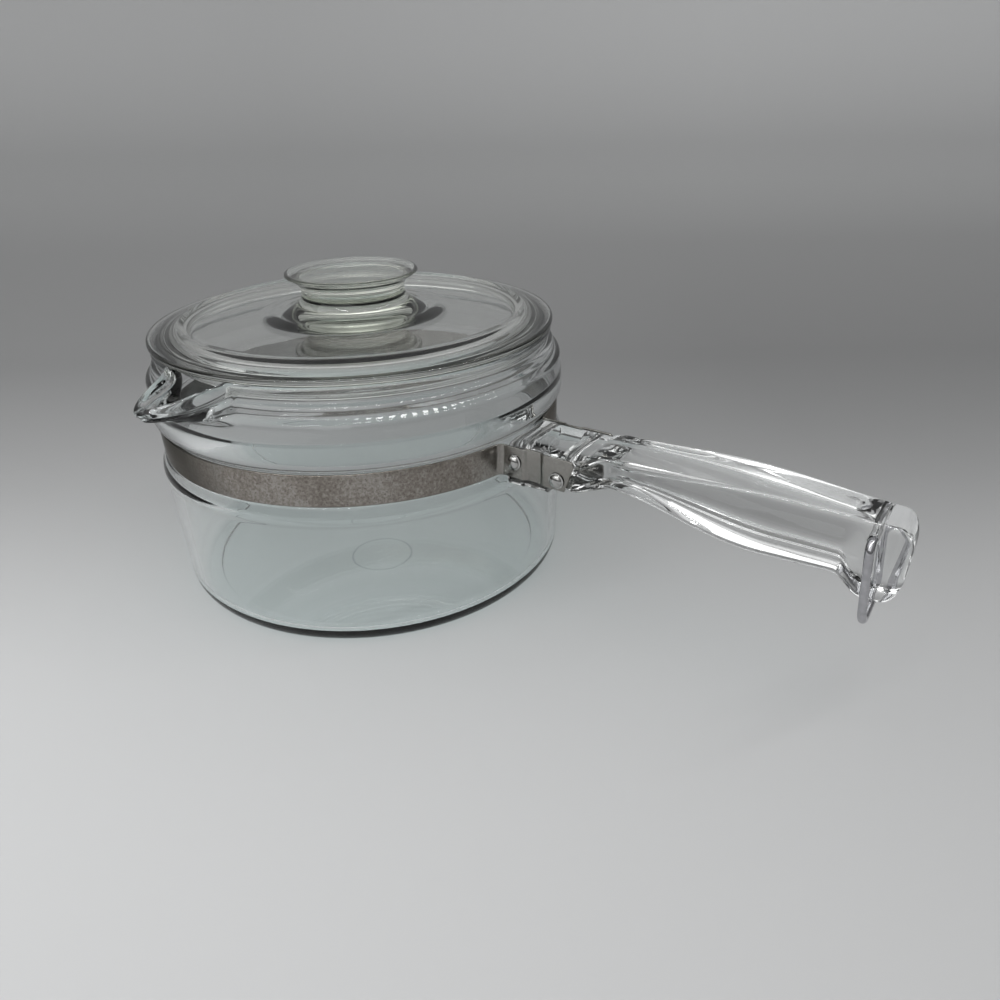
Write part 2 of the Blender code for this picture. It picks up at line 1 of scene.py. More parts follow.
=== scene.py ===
"""Looks of the glass saucepan: spouted pot, lift-off lid, glass handle, steel strap, rivets and wire ring.

Metres, in the frame's own axes: +Z up, the handle along +X, the pouring spout along -Y.
"""

import json
import math
from functools import partial

import bmesh
import bpy
from mathutils import Matrix, Vector


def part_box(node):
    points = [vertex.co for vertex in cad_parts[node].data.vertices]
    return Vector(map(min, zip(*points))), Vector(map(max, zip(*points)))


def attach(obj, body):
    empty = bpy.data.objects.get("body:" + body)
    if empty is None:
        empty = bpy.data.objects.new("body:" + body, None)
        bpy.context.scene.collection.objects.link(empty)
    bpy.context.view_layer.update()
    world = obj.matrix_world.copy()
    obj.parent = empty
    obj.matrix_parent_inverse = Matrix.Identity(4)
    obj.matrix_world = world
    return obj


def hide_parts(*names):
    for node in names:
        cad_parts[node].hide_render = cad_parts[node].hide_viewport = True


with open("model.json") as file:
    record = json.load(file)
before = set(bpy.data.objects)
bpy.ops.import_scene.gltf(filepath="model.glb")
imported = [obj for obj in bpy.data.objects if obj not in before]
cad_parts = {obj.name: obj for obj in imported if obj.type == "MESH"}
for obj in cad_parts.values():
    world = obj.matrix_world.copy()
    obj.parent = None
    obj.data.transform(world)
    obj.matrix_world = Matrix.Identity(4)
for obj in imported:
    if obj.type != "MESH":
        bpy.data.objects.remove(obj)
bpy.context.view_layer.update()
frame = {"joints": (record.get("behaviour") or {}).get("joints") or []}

# Sizes read from the frame
POT_LOW, POT_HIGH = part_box("pot")
LID_LOW, LID_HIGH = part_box("lid")
STRAP_BOTTOM, STRAP_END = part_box("strap")
HANDLE_LOW, HANDLE_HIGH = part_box("handle")
RIVET_PLACES = [sum(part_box(name), Vector()) / 2 for name in ("front_rivet", "rear_rivet")]
RIVET_LOW, RIVET_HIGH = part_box("front_rivet")
RING_JOINT = next(joint for joint in frame["joints"] if joint["name"] == "ring_swing")
RING_PIVOT = Vector(RING_JOINT["pos_m"])

# Gap that the solids leave between neighbouring pieces
GAP = 0.0003

# Pot: outer radii and heights, from its base up
RIDGE_RADIUS = -POT_LOW.x
STRAP_SEAT_RADIUS = RIDGE_RADIUS - 0.0033
HEEL_RADIUS = STRAP_SEAT_RADIUS + 0.0019
HEEL_ROUND = 0.0065
RIDGE_DROP = 0.0061
GROOVE_DEPTH = 0.0010
BULGE_RADIUS = STRAP_SEAT_RADIUS + 0.0030
BULGE_ROUND = 0.0048
BULGE_FACE = 0.0114
SHOULDER_RADIUS = STRAP_SEAT_RADIUS + 0.0021
SHOULDER_RISE = 0.0084
SHOULDER_ROUND = 0.0026
STEP_RADIUS = STRAP_SEAT_RADIUS - 0.0007
NECK_RADIUS = STRAP_SEAT_RADIUS - 0.0035
NECK_ROUND = 0.0015
RIM_RADIUS = STRAP_SEAT_RADIUS - 0.0018
RIM_ROUND = 0.0016
RIM_WIDTH = 0.0050
RIM_INNER_ROUND = 0.0010
WALL = 0.0038
BASE_THICKNESS = 0.0034
FLOOR_ROUND = 0.0050
FOOT_RADIUS = 0.0715
FOOT_RISE = 0.0004
POT_CORNER = 0.0006
STEP_CORNER = 0.0012
# A moulded ring under the base, drawn as a line of painted shade
BASE_MARK_PLACE = (0.0145, -0.0140, 0.0)
BASE_MARK_RADIUS = 0.0130
BASE_MARK_LINE = 0.0007
STRAP_LOW = STRAP_BOTTOM.z
STRAP_HIGH = STRAP_END.z
STRAP_WIDTH = STRAP_HIGH - STRAP_LOW
GROOVE_BOTTOM = STRAP_LOW - GAP
GROOVE_TOP = STRAP_HIGH + GAP
BULGE_HEIGHT = GROOVE_TOP + BULGE_ROUND
SHOULDER_HEIGHT = BULGE_HEIGHT + BULGE_FACE
NECK_HEIGHT = SHOULDER_HEIGHT + SHOULDER_RISE
RIM_HEIGHT = POT_HIGH.z
RIM_INSIDE = RIM_RADIUS - RIM_WIDTH
RIDGE_HEIGHT = STRAP_LOW - RIDGE_DROP

# Pouring spout
SPOUT_TIP = -POT_LOW.y
SPOUT_REACH = SPOUT_TIP - RIM_RADIUS
SPOUT_DROP = 0.0053
SPOUT_HEIGHT = RIM_HEIGHT - SPOUT_DROP
SPOUT_LIP = 0.0042
SPOUT_HALF_ANGLE = math.radians(13.5)
SPOUT_CHANNEL_HALF_ANGLE = math.radians(12.0)
SPOUT_SPREAD = 0.25
SPOUT_ROLL = 0.0054
SPOUT_LABELS = ("spout_radius", "spout_height", "spout_half_angle", "spout_sink")

# Strap and its ears
STRAP_SEAT = STRAP_SEAT_RADIUS + GAP
STRAP_THICKNESS = 0.0009
STRAP_MIDDLE_RADIUS = STRAP_SEAT + STRAP_THICKNESS / 2
STRAP_MIDDLE = (STRAP_LOW + STRAP_HIGH) / 2
STRAP_EDGE_ROUND = 0.00022
EAR_SPREAD = 0.0140
EAR_LENGTH = 0.0298
EAR_SLANT = 0.33
EAR_BEND = 0.0030
EAR_CORNER = 0.0022
EAR_LINE = EAR_SPREAD + STRAP_THICKNESS / 2
EAR_BEND_Y = EAR_LINE + EAR_BEND
EAR_BEND_X = math.sqrt((STRAP_MIDDLE_RADIUS + EAR_BEND) ** 2 - EAR_BEND_Y ** 2)
EAR_START = EAR_BEND_X - EAR_BEND
EAR_END = EAR_START + EAR_LENGTH
CHANNEL_START = 0.0119
CHANNEL_WIDTH = 0.0062
CHANNEL_DEPTH = 0.0010
CHANNEL_SLOPE = 0.8 * CHANNEL_DEPTH
CHANNEL_CORNER = 0.0006

# Rivets
RIVET_RADIUS = 0.0016
RIVET_HEAD_RADIUS = (RIVET_HIGH.x - RIVET_LOW.x) / 2
RIVET_HEAD_SEAT = EAR_SPREAD + STRAP_THICKNESS + GAP
RIVET_HEAD_HEIGHT = RIVET_HIGH.y - RIVET_HEAD_SEAT
RIVET_BRIM = 0.18 * RIVET_HEAD_HEIGHT
RIVET_CORNER = 0.0002

# Handle: the tongue between the ears, then the grip
TONGUE_TOP = STRAP_LOW + 0.0133
TONGUE_DEEP_BOTTOM = STRAP_LOW - 0.0046
TONGUE_BOTTOM = STRAP_LOW - 0.0005
TONGUE_STEP_X = STRAP_SEAT_RADIUS + 0.0177
TONGUE_CREST_HALF_WIDTH = 0.0070
TONGUE_CREST_DROP = 0.0027
TONGUE_ROUND = 0.0030
SHOULDER_GAP = 0.0020
SHOULDER_STEP = 0.0006
HANDLE_REACH = HANDLE_HIGH.x
GRIP_SHOULDER_HALF_WIDTH = 0.0143
GRIP_NECK_HALF_WIDTH = 0.0116
GRIP_PALM_HALF_WIDTH = 0.0124
GRIP_END_HALF_WIDTH = 0.0085
GRIP_SHOULDER_TOP = STRAP_LOW + 0.0150
GRIP_PALM_TOP = HANDLE_HIGH.z - 0.0008
GRIP_END_TOP = STRAP_LOW + 0.0153
GRIP_NECK_BOTTOM = STRAP_LOW + 0.0034
GRIP_PALM_BOTTOM = STRAP_LOW - 0.0046
GRIP_END_BOTTOM = HANDLE_LOW.z
GRIP_TOP_ROUND = 0.0020
GRIP_SHOULDER_ROUND = 0.0045
GRIP_BOTTOM_ROUND = 0.0026
GRIP_FLARE = 0.0003
GRIP_CAP = 0.6 * GRIP_END_HALF_WIDTH
GRIP_FLUTE = 0.0024

# Grip: places along it and lengths of what changes on it, as shares of its length
GRIP_NECK = 0.12
GRIP_PALM = 0.40
GRIP_CREST = 0.55
GRIP_BELLY = 0.62
GRIP_RECESS = 0.085
GRIP_SLANT_FADE = 0.16
GRIP_RISE = 0.055
GRIP_SHOULDER_FADE = 0.10
FLUTE_FADE_IN = 0.22
FLUTE_FADE_OUT = 0.07

# Grip: how the flute hollows its side from top to bottom, and the turns of its rounded end
FLUTE_PROFILE = (
    (0.04, 0.0),
    (0.18, 0.12),
    (0.34, 0.34),
    (0.50, 0.62),
    (0.64, 0.86),
    (0.75, 1.0),
    (0.84, 0.93),
    (0.92, 0.60),
    (0.97, 0.22),
)
END_TURNS = (8, 16, 24, 32, 40, 48, 56, 64, 72, 80, 86)
END_FLAT = 0.35
END_ROUND = 0.65

# Hanging ring
RING_WIRE_RADIUS = 0.0013
RING_HALF_WIDTH = 0.0122
RING_DROP = 0.0266
RING_BEND = 0.0046
RING_TOP_BEND = 0.6 * RING_BEND
RING_TIP_LENGTH = 0.0100
RING_LEAN = math.radians(6.0)

# Lid and its knob
LID_HEIGHT = RIM_HEIGHT + GAP
LID_RADIUS = LID_HIGH.x
LID_EDGE = 0.0027
LID_EDGE_ROUND = 0.0011
LID_RISE = 0.0058
LID_STEP_RADIUS = LID_RADIUS - 0.0125
LID_STEP_DROP = 0.0009
LID_PANEL = 0.0040
LID_CROWN = LID_HEIGHT + LID_RISE
LID_PANEL_TOP = LID_CROWN - LID_STEP_DROP
LID_PANEL_BOTTOM = LID_PANEL_TOP - LID_PANEL
LID_PANEL_CORNER = 0.0016
LID_FLANGE_CORNER = 0.0004
SKIRT_PLAY = 0.0009
SKIRT_THICKNESS = 0.0034
SKIRT_BOTTOM = LID_LOW.z
SKIRT_RADIUS = RIM_INSIDE - SKIRT_PLAY
SKIRT_CORNER = 0.0022
KNOB_BASE_RADIUS = 0.0315
KNOB_BASE_RISE = 0.0010
KNOB_WAIST_RADIUS = 0.0204
KNOB_RADIUS = 0.0262
KNOB_UNDERCUT = KNOB_RADIUS - KNOB_WAIST_RADIUS
KNOB_TOP = LID_HIGH.z
KNOB_DROP = 0.0076
KNOB_WAIST_HEIGHT = KNOB_TOP - KNOB_DROP
KNOB_BASE_HEIGHT = LID_PANEL_TOP + KNOB_BASE_RISE
KNOB_EDGE = 0.0007
KNOB_DISH = 0.0014

# Fineness of the surfaces
POT_COLUMNS = 384
POT_CROWDING = 0.65
LID_COLUMNS = 256
RIVET_COLUMNS = 48
WIRE_SIDES = 32
GRIP_SECTIONS = 110
LONG_STRETCH = 0.0020
SUPPORT_INSET = 0.0004
STRAP_STEPS = 220
EAR_CORNER_STEPS = 12
SMOOTH_ANGLE = math.radians(32)
MERGE_DISTANCE = 0.000001

# Camera, at the photograph's viewing angle
CAMERA_PLACE = Vector((0.22365, -0.21673, 0.18327))
CAMERA_HEADING = math.radians(125.305)
CAMERA_PITCH = math.radians(28.662)
CAMERA_ROLL = math.radians(-1.114)
CAMERA_LENS = 27.04
CAMERA_SENSOR = 36.0
CAMERA_NEAREST = 0.01
VIEW_AHEAD = Vector((math.cos(CAMERA_HEADING), math.sin(CAMERA_HEADING), 0.0))
VIEW_RIGHT = Vector((math.sin(CAMERA_HEADING), -math.cos(CAMERA_HEADING), 0.0))
UP = Vector((0.0, 0.0, 1.0))

# Glass: how it bends and dims light, its waviness, its handling marks and each piece's own cast.
# A noise, here and below, is its scale and its detail.
GLASS_INDEX = 1.47
GLASS_LETS_THROUGH = (0.93, 0.95, 0.95)
RIPPLE_NOISE = (38.0, 1.5)
GRAIN_NOISE = (420.0, 2.0)
GRAIN_SHARE = 0.03
RIPPLE_HEIGHT = 0.001
MARKS_NOISE = (90.0, 6.0)
MARKS_STRETCH = (1.0, 1.0, 3.0)
MARKS_RANGE = (0.55, 0.80)
MARKS_ROUGHNESS = (0.004, 0.05)
# Darker tint of the ring under the base: painted shade for the moulded mark's relief
BASE_MARK_SHADE_COLOUR = (0.60, 0.66, 0.65)
POT_GLASS = {"tint": (0.990, 0.996, 0.995), "cast": (0.62, 0.85, 0.84), "density": 7.0, "wave": 0.05}
LID_GLASS = {"tint": (0.993, 0.996, 0.988), "cast": (0.74, 0.79, 0.66), "density": 14.0, "wave": 0.05}
HANDLE_GLASS = {"tint": (0.994, 0.996, 0.995), "cast": (0.84, 0.88, 0.87), "density": 8.0, "wave": 0.12}

# Strap's steel: clouds of tarnish, dark specks, a dark reflection painted on one side, cleaner ears and
# rubbed lines
STRAP_GLINT = (0.55, 0.54, 0.52)
CLOUD_NOISE = (60.0, 3.0)
MOTTLE_NOISE = (900.0, 5.0)
CLOUD_SHARE = 0.45
CLOUD_RANGE = (0.38, 0.62)
TARNISH_COLOURS = ((0.0, (0.19, 0.172, 0.152)), (0.5, (0.27, 0.245, 0.22)), (1.0, (0.37, 0.352, 0.328)))
SPECK_NOISE = (1900.0, 2.0)
SPECK_RANGE = (0.56, 0.68)
SPECK_STRENGTH = 0.70
SPECK_COLOUR = (0.11, 0.09, 0.08)
# A dark reflection painted on one side of the strap: the side it faces, where it starts and ends, its wander,
# strength and colour
PAINTED_REFLECTION_SIDE = (-0.82, -0.58, 0.0)
PAINTED_REFLECTION_REACH = (0.054, 0.070)
PAINTED_REFLECTION_WANDER = 0.03
PAINTED_REFLECTION_STRENGTH = 0.75
PAINTED_REFLECTION_COLOUR = (0.105, 0.105, 0.10)
CLEAN_STRENGTH = 0.7
CLEAN_COLOUR = (0.29, 0.29, 0.275)
RUBBED_NOISE = (260.0, 4.0)
RUBBED_STRETCH = (1.0, 1.0, 12.0)
RUBBED_RANGE = (0.3, 0.7)
RUBBED_ROUGHNESS = (0.15, 0.27)
RUBBED_STRENGTH = 0.12
RUBBED_HEIGHT = 0.0003

# Polished metals: how far wear shows in tone and gloss, and each metal's worn and bright tones
WEAR_TONE_RANGE = (0.35, 0.65)
WEAR_GLOSS_RANGE = (0.3, 0.7)
WEAR_ROUGHNESS = (0.05, 0.12)
RIVET_STEEL = {"dull": (0.34, 0.34, 0.33), "bright": (0.52, 0.52, 0.51), "wear_noise": (700.0, 4.0)}
RING_CHROME = {"dull": (0.42, 0.42, 0.44), "bright": (0.52, 0.52, 0.54), "wear_noise": (500.0, 4.0)}

# Studio: a pale floor that sweeps up into a grey backdrop behind the pan, white far up; light and shade are
# painted into its greys
SWEEP_FRONT = -1.6
SWEEP_BACK = 0.40
SWEEP_ROUND = 0.14
SWEEP_HALF_WIDTH = 1.7
SWEEP_TOP = 1.3
SWEEP_NEAR = -0.25
SWEEP_FAR = 1.00
SWEEP_SIDES = (-0.12, 0.24)
SWEEP_ROUGHNESS = 0.85
SWEEP_GLOSS = 0.2
SWEEP_CAST = (1.0, 1.008, 1.014)
WHITE = (1.0, 1.0, 1.0)

# Painted light and shade: grey at some distances along the sweep's left side, darker where it bends up and
# lighter far up; on the right it is a share of that, darker on the floor and lighter on the backdrop
SWEEP_PAINTED_TONES = (
    (-0.25, 0.60),
    (-0.09, 0.61),
    (0.05, 0.34),
    (0.22, 0.27),
    (0.44, 0.21),
    (0.56, 0.43),
    (0.68, 0.48),
    (0.78, 0.22),
)
SWEEP_RIGHT_PAINTED_SHARES = (0.73, 1.22)
SWEEP_RIGHT_TURN = (0.20, 0.64)

# Lamps: a strip of small panels, one broad soft lamp, and a dim room that is brighter overhead
STRIP_HEIGHT = 1.1
STRIP_AWAY = 0.73
STRIP_LEFT = 0.70
STRIP_SPAN = 2.1
STRIP_RUN_RIGHT = 0.9
STRIP_RUN_AHEAD = 0.45
STRIP_PANELS = 27
STRIP_PANEL = 0.035
STRIP_STRENGTH = 25.0
SOFT_LAMP_HEIGHT = 1.15
SOFT_LAMP_LEFT = 0.35
SOFT_LAMP_AWAY = 0.50
SOFT_LAMP_TARGET = Vector((0.0, 0.0, 0.05))
SOFT_LAMP_SIZE = 2.0
SOFT_LAMP_POWER = 12.2
ROOM_RISE = (0.0, 0.9)
ROOM_TONES = (0.16, 0.50)


def arc(centre, radii, start, end, count):
    """Points on an ellipse's arc, from start to end in degrees."""
    points = []
    for step in range(count):
        angle = math.radians(start + (end - start) * step / (count - 1))
        points.append((centre[0] + radii[0] * math.cos(angle), centre[1] + radii[1] * math.sin(angle)))
    return points


def round_arc(centre, radius, start, end, count):
    """Points on a circle's arc, from start to end in degrees."""
    return arc(centre, (radius, radius), start, end, count)


def circle(centre, radius, count):
    """Points all round a circle."""
    turns = [2 * math.pi * step / count for step in range(count)]
    return [(centre[0] + radius * math.cos(turn), centre[1] + radius * math.sin(turn)) for turn in turns]


def weighted(weights, points):
    """The sum of some points, each times its weight."""
    return tuple(sum(weight * point[axis] for weight, point in zip(weights, points)) for axis in range(2))


def smooth(share):
    """Ease from 0 to 1 with level ends."""
    share = min(1.0, max(0.0, share))
    return share * share * (3.0 - 2.0 * share)


def through(keys, place):
    """Read a smooth curve that passes level through each (place, value) key."""
    if place <= keys[0][0]:
        return keys[0][1]
    for (start, low), (end, high) in zip(keys, keys[1:]):
        if place <= end:
            return low + (high - low) * smooth((place - start) / (end - start))
    return keys[-1][1]


def toward(start, end, distance):
    """The point a distance along the way from one point to another."""
    return tuple(a + (b - a) * distance / math.dist(start, end) for a, b in zip(start, end))


def bent(points, steps):
    """A flowing curve through the points, with the same number of steps between each two."""
    curve = []
    last = len(points) - 1
    for index in range(last):
        before = points[max(index - 1, 0)]
        start, end = points[index], points[index + 1]
        after = points[min(index + 2, last)]
        for step in range(steps):
            share = step / steps
            weights = (
                -0.5 * share ** 3 + share ** 2 - 0.5 * share,
                1.5 * share ** 3 - 2.5 * share ** 2 + 1.0,
                -1.5 * share ** 3 + 2.0 * share ** 2 + 0.5 * share,
                0.5 * share ** 3 - 0.5 * share ** 2,
            )
            curve.append(weighted(weights, (before, start, end, after)))
    return curve + [points[-1]]


def eased(corners, size, steps=5):
    """Round every corner of an open line of points, apart from its two ends."""
    line = [corners[0]]
    for before, corner, after in zip(corners, corners[1:], corners[2:]):
        start = toward(corner, before, min(size, 0.45 * math.dist(corner, before)))
        end = toward(corner, after, min(size, 0.45 * math.dist(corner, after)))
        for step in range(steps):
            share = step / (steps - 1)
            weights = ((1 - share) ** 2, 2 * share * (1 - share), share ** 2)
            line.append(weighted(weights, (start, corner, end)))
    return line + [corners[-1]]


def with_supports(rows):
    """Add a row close to each end of every long stretch, so that the flat of it shades as flat."""
    filled = []
    for row, after in zip(rows, rows[1:]):
        filled.append(row)
        length = math.dist(row[:2], after[:2])
        if length > LONG_STRETCH:
            for share in (SUPPORT_INSET / length, 1 - SUPPORT_INSET / length):
                filled.append(tuple(a + (b - a) * share for a, b in zip(row, after)))
    return filled + [rows[-1]]


def link(name, mesh):
    """Put a mesh into the scene under a name."""
    piece = bpy.data.objects.new(name, mesh)
    bpy.context.scene.collection.objects.link(piece)
    return piece


def skin(name, rings):
    """Join successive rings of points into one closed body; a ring of one point closes an end."""
    mesh = bmesh.new()
    loops = [[mesh.verts.new(point) for point in ring] for ring in rings]
    for loop in (loops[0], loops[-1]):
        if len(loop) > 2:
            mesh.faces.new(loop)
    for near, far in zip(loops, loops[1:]):
        count = max(len(near), len(far))
        for index in range(count):
            after = (index + 1) % count
            side = [near[index % len(near)], near[after % len(near)]]
            side += [far[after % len(far)], far[index % len(far)]]
            mesh.faces.new(list(dict.fromkeys(side)))
    bmesh.ops.recalc_face_normals(mesh, faces=mesh.faces[:])
    data = bpy.data.meshes.new(name)
    mesh.to_mesh(data)
    mesh.free()
    data.shade_smooth()
    return link(name, data)


def flat_object(name, points, edges=(), faces=()):
    """An object of plain points, edges and faces."""
    mesh = bpy.data.meshes.new(name)
    mesh.from_pydata([tuple(point) for point in points], edges, faces)
    return link(name, mesh)


def chain_object(name, points):
    """An object that is one chain of edges."""
    return flat_object(name, points, [(index, index + 1) for index in range(len(points) - 1)])


def section_object(name, rows, labels=()):
    """A section in the XZ plane; what its rows hold past radius and height is kept by label."""
    section = chain_object(name, [(row[0], 0.0, row[1]) for row in rows])
    for index, label in enumerate(labels, start=2):
        attribute = section.data.attributes.new(label, "FLOAT", "POINT")
        attribute.data.foreach_set("value", [row[index] for row in rows])
    return section


def new_tree(name, inputs):
    """A geometry node tree with named inputs, each as (name, socket type, value)."""
    tree = bpy.data.node_groups.new(name, "GeometryNodeTree")
    tree.interface.new_socket("Geometry", in_out="OUTPUT", socket_type="NodeSocketGeometry")
    tree.interface.new_socket("Geometry", in_out="INPUT", socket_type="NodeSocketGeometry")
    for label, kind, value in inputs:
        socket = tree.interface.new_socket(label, in_out="INPUT", socket_type=kind)
        if value is not None:
            socket.default_value = value
    return tree, tree.nodes.new("NodeGroupInput"), tree.nodes.new("NodeGroupOutput")


def feed(tree, node, values):
    """Put values into a node's sockets by name or number; a socket among the values is linked."""
    for key, value in values.items():
        if isinstance(value, bpy.types.NodeSocket):
            tree.links.new(value, node.inputs[key])
        else:
            node.inputs[key].default_value = value


def place_node(tree, kind, values=None, **settings):
    """Add a node with its settings and the values of its sockets."""
    added = tree.nodes.new(kind)
    for key, value in settings.items():
        setattr(added, key, value)
    feed(tree, added, values or {})
    return added


def made_by(tree, kind, values=None, **settings):
    """The first output of a new node."""
    return place_node(tree, kind, values, **settings).outputs[0]


def arithmetic(tree, operation, *values):
    """A math node's result."""
    return made_by(tree, "ShaderNodeMath", dict(enumerate(values)), operation=operation)


def blended(tree, share, low, high):
    """A value that runs from low to high with the share."""
    return arithmetic(tree, "MULTIPLY_ADD", share, arithmetic(tree, "SUBTRACT", high, low), low)


def finish_tree(tree, entry, result, geometry):
    """Close a tree: real geometry, smooth shading and its finish."""
    real = made_by(tree, "GeometryNodeRealizeInstances", {"Geometry": geometry})
    even = made_by(tree, "GeometryNodeSetShadeSmooth", {"Geometry": real})
    finish = {"Geometry": even, "Material": entry.outputs["Finish"]}
    feed(tree, result, {"Geometry": made_by(tree, "GeometryNodeSetMaterial", finish)})


def turning_tree(spouted):
    """A tree that carries a section round the axis, and for the pot draws it out into the spout."""
    inputs = [
        ("Columns", "NodeSocketInt", 128),
        ("Middle Radius", "NodeSocketFloat", 0.05),
        ("Finish", "NodeSocketMaterial", None),
    ]
    if spouted:
        inputs.append(("Crowding", "NodeSocketFloat", 0.0))
    tree, entry, result = new_tree("spouted_body" if spouted else "turned_body", inputs)
    middle = entry.outputs["Middle Radius"]
    split = place_node(tree, "ShaderNodeSeparateXYZ", {0: made_by(tree, "GeometryNodeInputPosition")})
    offset = arithmetic(tree, "SUBTRACT", split.outputs[0], middle)
    height = arithmetic(tree, "MULTIPLY", split.outputs[2], -1.0)
    laid = made_by(tree, "ShaderNodeCombineXYZ", {0: offset, 1: height, 2: 0.0})
    section = made_by(tree, "GeometryNodeMeshToCurve", {"Mesh": entry.outputs["Geometry"]})
    section = made_by(tree, "GeometryNodeSetPosition", {"Geometry": section, "Position": laid})
    round_path = {"Resolution": entry.outputs["Columns"], "Radius": middle}
    round_path = made_by(tree, "GeometryNodeCurvePrimitiveCircle", round_path)
    body = made_by(tree, "GeometryNodeCurveToMesh", {"Curve": round_path, "Profile Curve": section})
    if spouted:
        body = drawn_out(tree, entry, body)
    body = made_by(tree, "GeometryNodeMergeByDistance", {"Geometry": body, "Distance": MERGE_DISTANCE})
    finish_tree(tree, entry, result, body)
    return tree


def drawn_out(tree, entry, body):
    """Crowd the turned body's columns on the spout's side, -Y, and draw them out to its own section."""
    maths = partial(arithmetic, tree)
    kept = {}
    for label in SPOUT_LABELS:
        kept[label] = made_by(tree, "GeometryNodeInputNamedAttribute", {"Name": label}, data_type="FLOAT")
    split = place_node(tree, "ShaderNodeSeparateXYZ", {0: made_by(tree, "GeometryNodeInputPosition")})
    x, y, z = split.outputs
    angle = maths("ARCTAN2", y, x)
    angle = maths("SUBTRACT", angle, maths("MULTIPLY", entry.outputs["Crowding"], maths("COSINE", angle)))
    away = maths("ARCCOSINE", maths("MULTIPLY", maths("SINE", angle), -1.0))
    turn = maths("MINIMUM", maths("DIVIDE", away, kept["spout_half_angle"]), 1.0)
    wave = maths("COSINE", maths("MULTIPLY", turn, math.pi / 2))
    share = maths("MULTIPLY", wave, wave)
    across = maths("SQRT", maths("ADD", maths("MULTIPLY", x, x), maths("MULTIPLY", y, y)))
    radius = blended(tree, share, across, kept["spout_radius"])
    height = blended(tree, share, z, kept["spout_height"])
    midway = maths("SUBTRACT", wave, maths("MULTIPLY", wave, share))
    height = maths("SUBTRACT", height, maths("MULTIPLY", midway, kept["spout_sink"]))
    moved = made_by(tree, "ShaderNodeCombineXYZ", {
        0: maths("MULTIPLY", radius, maths("COSINE", angle)),
        1: maths("MULTIPLY", radius, maths("SINE", angle)),
        2: height,
    })
    return made_by(tree, "GeometryNodeSetPosition", {"Geometry": body, "Position": moved})


def wire_tree():
    """A tree that runs a round wire along a line of points and caps its ends."""
    tree, entry, result = new_tree("bent_wire", [
        ("Wire Radius", "NodeSocketFloat", 0.001),
        ("Sides", "NodeSocketInt", 24),
        ("Finish", "NodeSocketMaterial", None),
    ])
    line = made_by(tree, "GeometryNodeMeshToCurve", {"Mesh": entry.outputs["Geometry"]})
    outline = {"Resolution": entry.outputs["Sides"], "Radius": entry.outputs["Wire Radius"]}
    outline = made_by(tree, "GeometryNodeCurvePrimitiveCircle", outline)
    wire = {"Curve": line, "Profile Curve": outline, "Fill Caps": True}
    finish_tree(tree, entry, result, made_by(tree, "GeometryNodeCurveToMesh", wire))
    return tree


def rivet_set_tree():
    """A tree that sets one rivet at each point."""
    tree, entry, result = new_tree("rivet_set", [
        ("Rivet", "NodeSocketObject", None),
        ("Finish", "NodeSocketMaterial", None),
    ])
    rivet = place_node(tree, "GeometryNodeObjectInfo", {"Object": entry.outputs["Rivet"]}).outputs["Geometry"]
    row = {"Points": entry.outputs["Geometry"], "Instance": rivet}
    finish_tree(tree, entry, result, made_by(tree, "GeometryNodeInstanceOnPoints", row))
    return tree


def run_tree(tree, source, name, settings):
    """Run a tree on an object, and keep its result as a plain mesh with its faces pointing out."""
    modifier = source.modifiers.new(tree.name, "NODES")
    modifier.node_group = tree
    for item in tree.interface.items_tree:
        if item.in_out == "INPUT" and item.name in settings:
            modifier[item.identifier] = settings[item.name]
    seen = source.evaluated_get(bpy.context.evaluated_depsgraph_get())
    data = bpy.data.meshes.new_from_object(seen)
    source.modifiers.remove(modifier)
    bpy.data.objects.remove(source)
    data.name = name
    mesh = bmesh.new()
    mesh.from_mesh(data)
    bmesh.ops.recalc_face_normals(mesh, faces=mesh.faces[:])
    mesh.to_mesh(data)
    mesh.free()
    for label in SPOUT_LABELS:
        if label in data.attributes:
            data.attributes.remove(data.attributes[label])
    return link(name, data)


def set_finish(piece, material, body, slot, *nodes):
    """Give a piece its material, hide the frame's parts that it stands for and tell the frame what it rides
    on.
    """
    if not piece.data.materials:
        piece.data.materials.append(material)
    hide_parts(*nodes)
    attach(piece, body)


def cut_away(piece, cutters):
    """Take closed shapes out of a piece for good."""
    for cutter in cutters:
        hole = piece.modifiers.new("cut", "BOOLEAN")
        hole.operation = "DIFFERENCE"
        hole.solver = "EXACT"
        hole.object = cutter
    seen = piece.evaluated_get(bpy.context.evaluated_depsgraph_get())
    data = bpy.data.meshes.new_from_object(seen)
    piece.modifiers.clear()
    piece.data = data
    for cutter in cutters:
        bpy.data.objects.remove(cutter)
    data.shade_smooth()
    data.set_sharp_from_angle(angle=SMOOTH_ANGLE)


def cross_hole(place, radius, length):
    """A cutter along Y through a point."""
    outline = circle((place.x, place.z), radius, RIVET_COLUMNS)
    return skin("cross_hole", [[(x, y, z) for x, z in outline] for y in (-length / 2, length / 2)])


